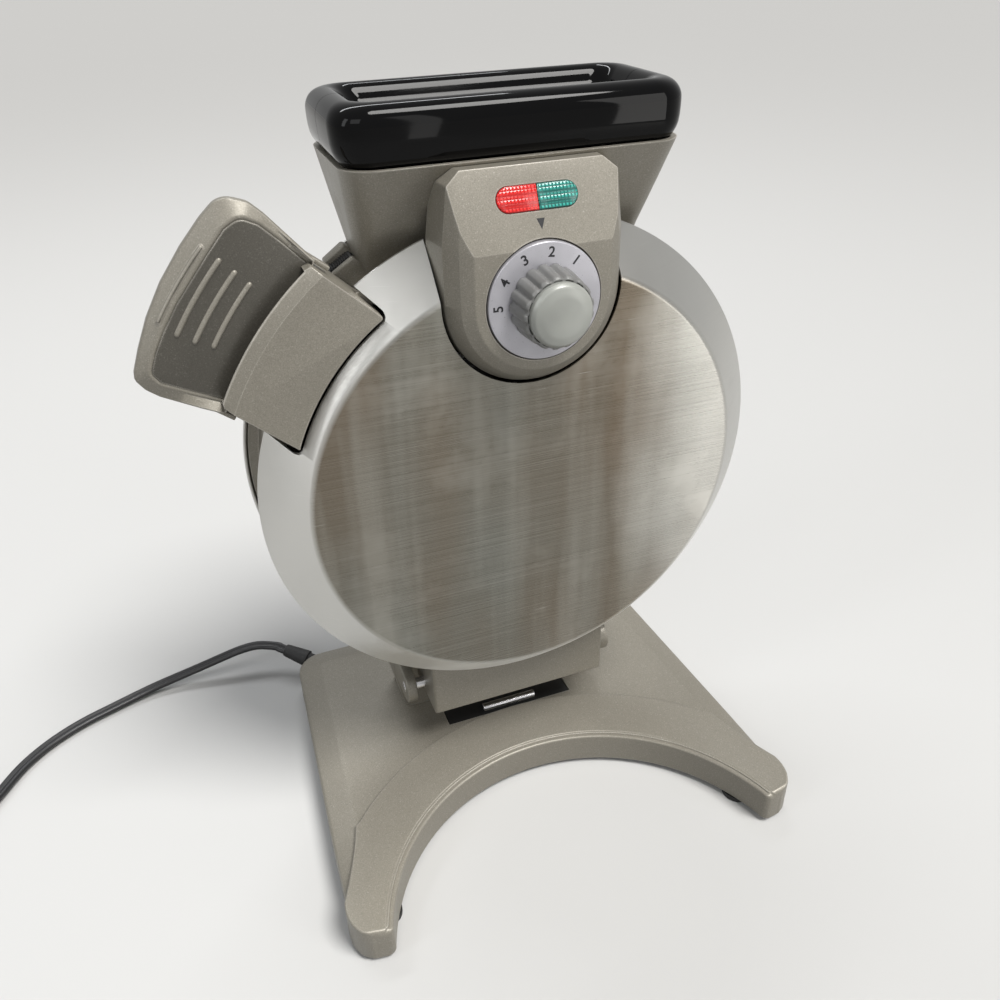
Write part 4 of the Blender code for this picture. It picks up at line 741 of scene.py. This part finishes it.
def build_top():
    """The neck and the funnel, split in halves. Rows: half width, half depth, corner, height."""
    neck = (
        (0.058, 0.0055, 0.005, 0.272), (0.0608, 0.0124, 0.008, 0.285),
        (0.0642, 0.023, 0.011, 0.3035), (0.0672, 0.0324, 0.013, 0.321),
    )
    bore = neck + ((0.0672, 0.0324, 0.013, 0.331),)
    wall = 0.0025
    low, floor = 0.3213, 0.2811
    table = (
        (0.0646, 0.0288, 0.01, low), (0.0658, 0.0294, 0.0106, low + 0.0006),
        (0.0681, 0.0304, 0.0118, low + 0.005), (0.0688, 0.0306, 0.0125, 0.334),
        (0.0682, 0.03, 0.0123, 0.3375), (0.0663, 0.0283, 0.0116, 0.3402),
        (0.0633, 0.0255, 0.01, 0.3417), (0.06, 0.0224, 0.0088, 0.3418),
        (0.0574, 0.02, 0.008, 0.3404), (0.0552, 0.0182, 0.0074, 0.3375),
        (0.054, 0.017, 0.007, 0.3355), (0.049, 0.015, 0.0062, 0.3335),
        (0.022, 0.0065, 0.0025, 0.3255),
    )
    chute = ((0.022, 0.0065, 0.0025, floor), (0.024, 0.0085, 0.0035, floor))
    chute += ((0.024, 0.0085, 0.0035, low),)
    for name, body, side in (("front", "front_half", -1), ("rear", "stand", 1)):
        inner = loft([rounded_box(w - wall, d - wall, c - wall, z) for w, d, c, z in bore])
        shape = one_half(carve(loft([rounded_box(*row) for row in neck]), inner), side)
        shape = carve(shape, moved(rod(BESIDE_DRUM, 2 * FAR, LARGE_CIRCLE), FRONT))
        piece(name + "_collar", shape, TAUPE, body, name + "_neck", sharp=35)
        loops = [rounded_box(*row, steps=10) for row in (*spline(table, 3), *chute)]
        tub = one_half(loft(loops, ring=True), side)
        piece(name + "_tub", tub, GLOSS, body, name + "_funnel", sharp=40)


# The control housing: its upper face leans back from the crease
DIAL_Z = 0.272
FACE_Y = -0.0494
TOP_Z = 0.3196
TOP_Y = -0.0374
CREASE_Z = 0.2936
FACET = atan2(TOP_Y - (FACE_Y + 0.0006), TOP_Z - CREASE_Z)
LENS_Z = 0.3088
LENS_Y = TOP_Y - (TOP_Z - LENS_Z) * tan(FACET)


def housing_loop(half, y):
    """The outline of the housing at one depth: round below, two cut corners on top."""
    narrow = half * 0.93
    shoulder, cut = TOP_Z - 0.0046, 0.0058
    corners = arc((0, DIAL_Z), half, 180, 360, 64)
    corners += [
        (half, CREASE_Z, 0.004), (narrow, shoulder, 0.0015), (narrow - cut, TOP_Z, 0.0015),
        (-narrow + cut, TOP_Z, 0.0015), (-narrow, shoulder, 0.0015), (-half, CREASE_Z, 0.004),
    ]
    return [(x, y, z) for x, z in soften(corners, steps=4)]


def sliced(shape, y, z, angle, side):
    """A shape without what lies outside a plane that leans by an angle to the front or rear."""
    size = 0.3
    normal = Vector((0, side * cos(angle), sin(angle)))
    middle = shift(Vector((0, y, z)) + normal * size / 2)
    tilt = Matrix.Rotation(side * angle, 4, "X")
    return carve(shape, moved(block((-size / 2,) * 3, (size / 2,) * 3), middle @ tilt))


def pill(radius):
    """The outline of the lamp window: two half circles and what lies between them."""
    straight = 0.0113
    return arc((straight, 0), radius, -90, 90, 20) + arc((-straight, 0), radius, 90, 270, 20)


def build_housing():
    section = [
        (0.0375, -0.024), (0.036, -0.0392), (0.0318, -0.0457, 0.0016),
        (0.0273, FACE_Y, 0.0016), (0.023, FACE_Y),
    ]
    shape = loft([housing_loop(w, y) for w, y in soften(section, closed=False)])
    shape = sliced(shape, LENS_Y, LENS_Z, FACET, -1)
    shape = bevel(shape, 0.0012, 4, 14, lambda m: m.z > CREASE_Z - 0.012 and m.y < -0.03)
    neck_lean = atan2(0.0324 - 0.0124, 0.321 - 0.285)
    shape = sliced(shape, -0.0327, 0.321, neck_lean, 1)
    dish = [
        (0, 0.01), (0.0242, 0.01), (0.0242, 0.0012), (0.0234, 0.0, 0.0006),
        (0.0234, -0.003, 0.0004), (0, -0.003),
    ]
    dial = shift((0, FACE_Y, DIAL_Z)) @ UPRIGHT
    shape = carve(shape, moved(turned(dish, 96), dial))
    shape = carve(shape, moved(rod(0.0036, 0.04), dial))
    hollow = block((-0.0215, -0.0435, DIAL_Z - 0.02), (0.0215, -0.01, 0.29))
    shape = carve(shape, hollow)
    face = shift((0, LENS_Y, LENS_Z)) @ Matrix.Rotation(QUARTER - FACET, 4, "X")
    shape = carve(shape, moved(prism(pill(0.0048), -0.005, 0.005), face))
    piece("housing", shape, TAUPE, "front_half", "control_housing")

    piece("lens_bed", moved(prism(pill(0.0049), -0.0035, -0.0004), face), BLACK, "front_half")
    radius, gap = 0.0046, 0.00005
    for name, side, colour in (("red", -1, RED), ("green", 1, GREEN)):
        half = [(gap, -radius)] + arc((0.0112, 0), radius, -90, 90, 20) + [(gap, radius)]
        glass = prism([(side * x, y) for x, y in half], -0.003, 0.0008)
        glass = bevel(glass, 0.0005, 3, 60, lambda m: m.z > 0)
        piece(name + "_window", moved(glass, face), colour, "front_half", name + "_lens")
    mark = face @ shift((0, -0.0093, 0))
    arrow = prism([(-0.0016, 0.0018), (0.0016, 0.0018), (0, -0.0022)], -0.0002, 0.00005)
    piece("pointer_mark", moved(arrow, mark), INK, "front_half")


def build_knob():
    centre = shift((0, 0, DIAL_Z)) @ UPRIGHT
    back, front, edge, bore = 0.0467, 0.0504, 0.0228, 0.0033
    ring = soften([(bore, back), (edge, back, 0.0002), (edge, front, 0.0006), (bore, front)])
    piece("dial", moved(lathe(ring, steps=128), centre), DIAL, "knob_body", "dial_skirt")
    flutes, fine = 17, 12
    section = [
        (0.0148, 0.0507), (0.0148, 0.053, 0.002), (0.014, 0.063, 0.0008),
        (0.0133, 0.064, 0.0005), (0.0126, 0.064, 0.0003), (0.0126, 0.0606),
    ]
    loops = []
    for radius, height in soften(section, closed=False, steps=4):
        loop = []
        fluted = 1 if radius > 0.0131 else 0
        for k in range(flutes * fine):
            angle = TURN * k / (flutes * fine)
            wave = 0.5 + 0.5 * cos(TURN * k / fine)
            cut = radius - 0.0011 * fluted * wave**2.5
            loop.append((cut * cos(angle), cut * sin(angle), height))
        loops.append(loop)
    piece("knob_grip", moved(loft(loops), centre), KNOB, "knob_body", "knob", sharp=40)
    cap = [
        (0, 0.0682), (0.008, 0.06785, 0.01), (0.0112, 0.067, 0.002),
        (0.0123, 0.0655, 0.001), (0.0123, 0.0603), (0, 0.0603),
    ]
    piece("cap", moved(turned(cap, 96), centre), CAP, "knob_body", "knob_cap")

    # The numbers: 1 at the upper right, up to 5 at the left
    shapes = []
    for text, heading in (("1", 50), ("2", 83), ("3", 116), ("4", 149), ("5", 180)):
        data = bpy.data.curves.new("number", "FONT")
        data.body = text
        data.size = 0.0054
        data.align_x = "CENTER"
        data.align_y = "CENTER"
        data.extrude = 0.00004
        data.offset = 0.0001
        shape = from_curve(placed("number", data))
        x, y = arc((0, 0), 0.0188, heading, heading, 1)[0]
        spot = shift((x, y, front + 0.00002))
        turn = Matrix.Rotation(radians(heading) - QUARTER, 4, "Z")
        shapes.append(moved(shape, spot @ turn))
    piece("dial_numbers", moved(join(*shapes), centre), INK, "knob_body")


def build_block():
    outline = [
        (-0.0204, 0.046, 0.002), (0.0136, 0.046, 0.002), (0.0136, 0.0625, 0.002),
        (-0.0025, 0.0625), (-0.0025, 0.13), (-0.0204, 0.13),
    ]
    shape = bevel(moved(prism(soften(outline), -0.047, 0.047), ACROSS), 0.0016, 4, 60)
    bore = moved(rod(0.0033, FAR), shift((0, 0, HINGE_Z)) @ SIDEWAYS)
    shape = carve(carve(shape, bore), moved(room(), FRONT))
    piece("block", shape, TAUPE, "front_half", "front_hinge_block")


# The handle, in its own directions: s out from the disc, t across it, and the third to the rear


def ring_points(outline, centre, count):
    """Where rays from a centre, at even angles, leave an outline."""
    made = []
    middle = Vector(centre)
    for k in range(count):
        angle = TURN * k / count
        ray = Vector((cos(angle), sin(angle)))
        best = 0
        for a, b in zip(outline, outline[1:] + outline[:1]):
            a, b = Vector(a) - middle, Vector(b) - middle
            side_a, side_b = ray.x * a.y - ray.y * a.x, ray.x * b.y - ray.y * b.x
            if side_a * side_b <= 0 and side_a != side_b:
                hit = a.lerp(b, side_a / (side_a - side_b))
                best = max(best, hit.dot(ray))
        made.append(tuple(middle + ray * best))
    return made


def drawn_in(points, inset):
    """A closed outline moved inwards."""
    made = []
    for i, here in enumerate(points):
        a, b = Vector(points[i - 1]), Vector(points[(i + 1) % len(points)])
        along = (b - a).normalized()
        made.append(tuple(Vector(here) + Vector((-along.y, along.x)) * inset))
    return made


def panel_y(s):
    return -0.0286 + (0.164 - s) * 0.075


def flange_y(s):
    return -0.028 + (s - 0.1364) * 0.117


def ridge(path, half_width, height, tip):
    """A rounded rib along a path of points, with blunt round ends."""
    loops = []
    around = 14
    count = len(path) - 1
    for k, here in enumerate(path):
        near_end = min((here - path[0]).length, (path[count] - here).length)
        ease = sqrt(max(0.01, 1 - max(0, 1 - near_end / tip) ** 2))
        heading = (path[min(count, k + 1)] - path[max(0, k - 1)]).normalized()
        side = Vector((-heading.y, heading.x, 0)).normalized()
        loop = []
        for j in range(around):
            angle = TURN * j / around
            wide, high = half_width * ease * cos(angle), height * ease * sin(angle)
            loop.append(tuple(here + side * wide + Vector((0, 0, high))))
        loops.append(loop)
    return loft(loops)


def bent_ridge(middle, lean, low, top, bend, depth, *size):
    """A ridge across the handle, leaning and bent, its points closer at its ends."""
    path = []
    for k in range(25):
        t = low + (top - low) * (1 - cos(pi * k / 24)) / 2
        s = middle + lean * t - t * t / bend
        path.append(Vector((s, t, depth(s))))
    return ridge(path, *size)


def build_cover():
    outer = 0.1358
    plan = [(0.0986, 0.0297, 0.0045)] + arc((0, 0), 0.1032, 15, -17, 20)
    plan += [(0.098, -0.0314, 0.005), (0.1312, -0.0296, 0.001)]
    plan += arc((0, 0), outer, -12, 12.5, 24) + [(0.1312, 0.0319, 0.001)]
    cover = prism(soften(plan[::-1], steps=8), -0.0345, -0.014)
    slope = [(outer, 0.0317), (0.1302, 0.0348), (0.1302, 0.04), (0.15, 0.04), (0.15, 0.0317)]
    cover = carve(cover, moved(lathe(slope, steps=256), Matrix.Rotation(TURN / 2, 4, "X")))
    cover = bevel(cover, 0.0007, 3, 22, lambda m: m.z < -0.03)
    hollow = [(0.1055, 0.027), (0.1055, -0.029), (0.143, -0.029), (0.143, 0.03)]
    cover = carve(cover, prism(hollow, -0.0318, 0))
    drum = lathe([(0, 0.024), (BESIDE_DRUM, 0.024), (BESIDE_DRUM, 0), (0, 0)], closed=False)
    cover = carve(moved(cover, HANDLE), moved(drum, FRONT))
    piece("shank_cover", cover, TAUPE, "front_half", "handle_shank_cover")


def build_paddle():
    tongue = [
        (0.129, -0.028, 0.001), (0.128, -0.0255, 0.001),
        (0.128, 0.0262, 0.001), (0.13, 0.03, 0.001),
    ]
    outer = [
        (0.1296, 0.0318, 0.001), (0.1298, 0.0338, 0.001), (0.1525, 0.0381),
        (0.159, 0.0386, 0.006), (0.168, 0.0352, 0.008), (0.1696, 0.0249), (0.1703, 0.013),
        (0.17, -0.0017), (0.1682, -0.0152), (0.1654, -0.0266), (0.1622, -0.037, 0.004),
        (0.1566, -0.0386, 0.003), (0.1512, -0.0384), (0.1367, -0.0352),
        (0.1283, -0.033, 0.001), (0.1285, -0.03, 0.001),
    ]
    inner = [
        (0.13, 0.0322, 0.001), (0.1432, 0.0342), (0.153, 0.0353, 0.004),
        (0.1606, 0.0337, 0.006), (0.1632, 0.027), (0.1637, 0.0165), (0.1641, -0.004),
        (0.1632, -0.015), (0.1618, -0.0235), (0.1594, -0.0318, 0.004),
        (0.154, -0.0336, 0.004), (0.1435, -0.0318), (0.1292, -0.029, 0.001),
    ]
    rim, face = (
        ring_points(soften(line + tongue, steps=6), (0.15, 0), 180) for line in (outer, inner)
    )

    def dished(rows):
        """A solid of levels, each an outline, how far it is drawn in, its height and its slope."""
        levels = []
        for points, inset, lift, depth in rows:
            levels.append([(s, t, depth(s) + lift) for s, t in drawn_in(points, inset)])
        return loft(levels)

    flange = ((0.0014, 0.0045), (0.0004, 0.0043), (0.0, 0.0034), (0.0, 0.0008), (0.0002, 0.0003))
    flange = [(rim, inset, lift, flange_y) for inset, lift in flange + ((0.0007, 0.0),)]
    panel = ((-0.0008, 0.0004), (-0.0003, 0.0001), (0.0002, 0.0), (0.0007, 0.0002))
    panel = [(face, inset, lift, panel_y) for inset, lift in panel + ((0.0013, 0.0005),)]
    parts = [dished(flange + panel)]
    for low, high in ((0.0326, 0.0344), (-0.0344, -0.0326)):
        parts.append(bevel(block((0.1235, low, -0.0268), (0.14, high, -0.0232)), 0.0005, 2))
    parts.append(bevel(block((0.1122, -0.016, -0.025), (0.1369, 0.016, -0.0195)), 0.0006, 2))
    for middle, lean, low, top in (
        (0.1588, 0.028, -0.0148, 0.0179),
        (0.1521, 0.026, -0.0143, 0.0168),
        (0.1454, 0.03, -0.0128, 0.0156),
    ):
        size = (0.00125, 0.0016, 0.0012)
        raised = lambda s: panel_y(s) + 0.0005
        parts.append(bent_ridge(middle, lean, low, top, 2 * middle, raised, *size))
    bead = (0.0007, 0.001, 0.0008)
    parts.append(bent_ridge(0.1662, 0.02, -0.0132, 0.0184, 0.33, lambda s: -0.0276, *bead))
    piece("paddle", moved(join(*parts), HANDLE), TAUPE, "paddle_body", "release_paddle", sharp=35)

    # The paddle's face as a plate of the darker taupe: painted shade
    levels = ((0.0016, 0.0006), (0.001, 0.0003), (0.0012, -0.0001), (0.0018, -0.0003))
    plate = dished([(face, inset, lift, panel_y) for inset, lift in levels])
    piece("paddle_face", moved(plate, HANDLE), SHADED_TAUPE, "paddle_body", sharp=35)


def poly_curve(name, dimensions, points, closed=False):
    """A curve object of straight lines through points."""
    curve = bpy.data.curves.new(name, "CURVE")
    curve.dimensions = dimensions
    line = curve.splines.new("POLY")
    line.points.add(len(points) - 1)
    for point, place in zip(line.points, points):
        point.co = (*place, 1)
    line.use_cyclic_u = closed
    return placed(name, curve)


def flat_twin(points, radius, name):
    """Two round cores side by side, along a route."""
    core = radius / 2
    lobes = arc((-core, 0), core, 30, 330, 10) + arc((core, 0), core, -150, 150, 10)
    section = poly_curve(name + "_section", "2D", [(x, y, 0) for x, y in lobes], closed=True)
    made = poly_curve(name, "3D", points)
    made.data.twist_mode = "Z_UP"
    made.data.bevel_mode = "OBJECT"
    made.data.bevel_object = section
    made.data.use_fill_caps = True
    shape = from_curve(made)
    bpy.data.batch_remove([section, section.data])
    bmesh.ops.remove_doubles(shape, verts=shape.verts, dist=1e-6)
    return shape


CORD_RADIUS = 0.0032
COIL_PITCH = 0.0069
COIL_OUTER = 0.041
COIL_TURNS = 3.5
COIL_START = radians(-34)
COIL_CENTRE = Vector((-0.324, 0.0468, 0))
COIL_LOW = 0.00435


def coil_spot(turns):
    """A point of the coil, which goes inwards, climbs half way along and comes out again."""
    radius = COIL_OUTER - COIL_PITCH * min(turns, COIL_TURNS - turns)
    angle = COIL_START - TURN * turns
    share = max(0, min(1, (turns - COIL_TURNS / 2 + 0.25) / 0.5))
    height = COIL_LOW + COIL_PITCH * share
    return COIL_CENTRE + Vector((radius * cos(angle), radius * sin(angle), height))


def coil_heading(turns):
    angle = COIL_START - TURN * turns
    return Vector((sin(angle), -cos(angle), 0))


def build_lead():
    """The lead as far as its coil, from the rear left corner of the foot."""
    touch = 0.0003
    straight = 2 * CORD_RADIUS
    turn, rise = radians(51.5), radians(13)
    level = cos(rise)
    out = Vector((-sin(turn) * level, cos(turn) * level, sin(rise)))
    root = Vector((-0.867 * REAR_HALF, 0.967 * BASE_REAR, 0.0104))
    start = root + out * (0.024 + touch)
    coil_way = coil_heading(0)
    end = coil_spot(0) - coil_way * straight - coil_way * touch
    route = [start, start + out * CORD_RADIUS, start + out * straight]
    route += [
        (-0.1243, 0.1031, 0.0184), (-0.1352, 0.1046, 0.017), (-0.1474, 0.1052, 0.014),
        (-0.1612, 0.1061, 0.01), (-0.1747, 0.1064, 0.0068), (-0.1881, 0.1053, 0.0046),
        (-0.2011, 0.102, 0.0036), (-0.2137, 0.0977, 0.0033), (-0.2259, 0.0931, 0.0033),
        (-0.2378, 0.0871, 0.0033), (-0.2493, 0.0792, 0.0033), (-0.2602, 0.0685, 0.0034),
        (-0.2703, 0.0534, 0.0038),
    ]
    route += [end - coil_way * 2 * straight, end - coil_way * CORD_RADIUS, end]
    held = spline(route)
    cord = flat_twin(held, CORD_RADIUS, "lead")
    lead = piece("lead", cord, CORD, "stand", "power_cord", sharp=60)
    relief = [
        (0, 0.024), (0.0037, 0.024, 0.0005), (0.005, 0.01, 0.0006), (0.005, 0.0088, 0.0003),
        (0.004, 0.0088), (0.004, -0.005), (0, -0.005),
    ]
    place = shift(root) @ out.to_track_quat("Z", "Y").to_matrix().to_4x4()
    piece("relief", moved(turned(relief, 40), place), RUBBER, "stand", "strain_relief")


def build_coil():
    """The coil beside the view, and the bend from it to the plug."""
    straight = 2 * CORD_RADIUS
    count = round(48 * COIL_TURNS)
    line = [coil_spot(0) - coil_heading(0) * straight]
    line += [coil_spot(COIL_TURNS * i / count) for i in range(count + 1)]
    heading = coil_heading(COIL_TURNS)
    left = Vector((-heading.y, heading.x, 0))
    bend_radius, bend = 8 * CORD_RADIUS, radians(50)
    middle = coil_spot(COIL_TURNS) + left * bend_radius
    for i in range(1, 9):
        angle = bend * i / 8
        line.append(middle + bend_radius * (heading * sin(angle) - left * cos(angle)))
    line.append(line[-1] + (heading * cos(bend) + left * sin(bend)) * straight)
    cord = flat_twin(line, CORD_RADIUS, "coil")
    coil = piece("coil", cord, CORD, "stand", "cord_coil", sharp=60)


def dress_nodes():
    """Colours for the solids that keep their CAD shape."""
    looks = {m["slot"]: m for m in (BLACK, RUBBER, CAST, METAL, CERAMIC, TAUPE, STEEL)}
    slots = {s["node"]: s.get("material_slot") for s in frame["record"]["subparts"] if "node" in s}
    for name, node in frame["nodes"].items():
        slot = slots.get(name)
        if slot in looks:
            node.data.materials.clear()
            node.data.materials.append(looks[slot])


def seen_directly(tree):
    """1 for what the camera sees, also mirrored or through glass, and 0 for light that bounces."""
    path = tree.nodes.new("ShaderNodeLightPath")
    source = path.outputs["Is Camera Ray"]
    for kind in ("Is Glossy Ray", "Is Transmission Ray"):
        either = tree.nodes.new("ShaderNodeMath")
        either.operation = "MAXIMUM"
        tree.links.new(source, either.inputs[0])
        tree.links.new(path.outputs[kind], either.inputs[1])
        source = either.outputs[0]
    return source


def build_floor():
    floor = bmesh.new()
    bmesh.ops.create_grid(floor, x_segments=1, y_segments=1, size=12)
    made = placed("floor", as_mesh("floor", floor))
    plain, seen = (0.2, 0.2, 0.2), (0.56, 0.56, 0.555)
    look = Shade("floor", "floor", plain, 0.8, Specular_IOR_Level=0.2)
    look.set("Base Color", look.mix(seen_directly(look.tree), plain, seen))
    made.data.materials.append(look.made)


def build_light():
    world = bpy.data.worlds.new("studio")
    bpy.context.scene.world = world
    world.use_nodes = True
    tree = world.node_tree
    sky = tree.nodes["Background"]
    sky.inputs["Color"].default_value = (0.955, 0.957, 0.95, 1)
    light = tree.nodes.new("ShaderNodeMapRange")
    tree.links.new(seen_directly(tree), light.inputs["Value"])
    light.inputs["To Min"].default_value = 0.14
    light.inputs["To Max"].default_value = 0.6
    tree.links.new(light.outputs["Result"], sky.inputs["Strength"])

    sun = bpy.data.lights.new("key", "SUN")
    sun.energy = 3.5
    sun.angle = radians(24)
    sun.color = (1.0, 0.985, 0.96)
    lamps = [(sun, (0.29, -0.4, 0.87), 0)]
    for name, place, aim_z, size, power, colour in (
        ("top", (-0.1, 0.75, 1.45), 0.2, (1.3, 0.09), 8, (0.96, 0.98, 1.0)),
        ("window", (-0.78, -1.04, 1.15), 0.25, (0.75, 0.55), 3.0, (0.98, 0.99, 1.0)),
        ("right", (0.62, -0.8, 0.42), 0.18, (0.2, 0.8), 1.8, (1.0, 0.98, 0.95)),
        ("middle", (0.26, -1.2, 0.5), 0.18, (0.07, 1.2), 0.5, (1.0, 0.99, 0.97)),
        ("left", (-1.15, -0.35, 0.85), 0.17, (0.25, 0.8), 2.6, (0.96, 0.98, 1.0)),
    ):
        data = bpy.data.lights.new(name, "AREA")
        data.shape = "RECTANGLE"
        data.size, data.size_y = size
        data.energy = power
        data.color = colour
        lamps.append((data, place, aim_z))
    for data, place, aim_z in lamps:
        lamp = placed(data.name, data)
        lamp.location = place
        aim = Vector((0, 0, aim_z)) - Vector(place)
        lamp.rotation_euler = aim.to_track_quat("-Z", "Y").to_euler()


def build_camera():
    azimuth, elevation, roll = (radians(a) for a in (-20.21, 32.57, -1.34))
    aim = PLACE + Vector((-0.0094, -0.0214, DISC - 0.0146))
    level = cos(elevation)
    back = Vector((sin(azimuth) * level, -cos(azimuth) * level, sin(elevation)))
    right = (-back).cross(Vector((0, 0, 1))).normalized()
    up = right.cross(-back)
    across = cos(roll) * right + sin(roll) * up
    above = -sin(roll) * right + cos(roll) * up
    data = bpy.data.cameras.new("camera")
    data.sensor_width = 36
    data.lens = 0.924 * data.sensor_width
    data.clip_start = 0.01
    camera = placed("camera", data)
    turn = Matrix((across, above, back)).transposed().to_4x4()
    camera.matrix_world = shift(aim + 0.421 * back) @ turn
    bpy.context.scene.camera = camera


build_camera()
build_floor()
build_light()
dress_nodes()
build_foot_body()
build_foot_band()
build_bar()
build_pedestal()
build_shells()
build_frames()
build_gasket()
build_top()
build_housing()
build_knob()
build_block()
build_cover()
build_paddle()
build_lead()
build_coil()
bpy.context.scene.view_settings.view_transform = "Standard"
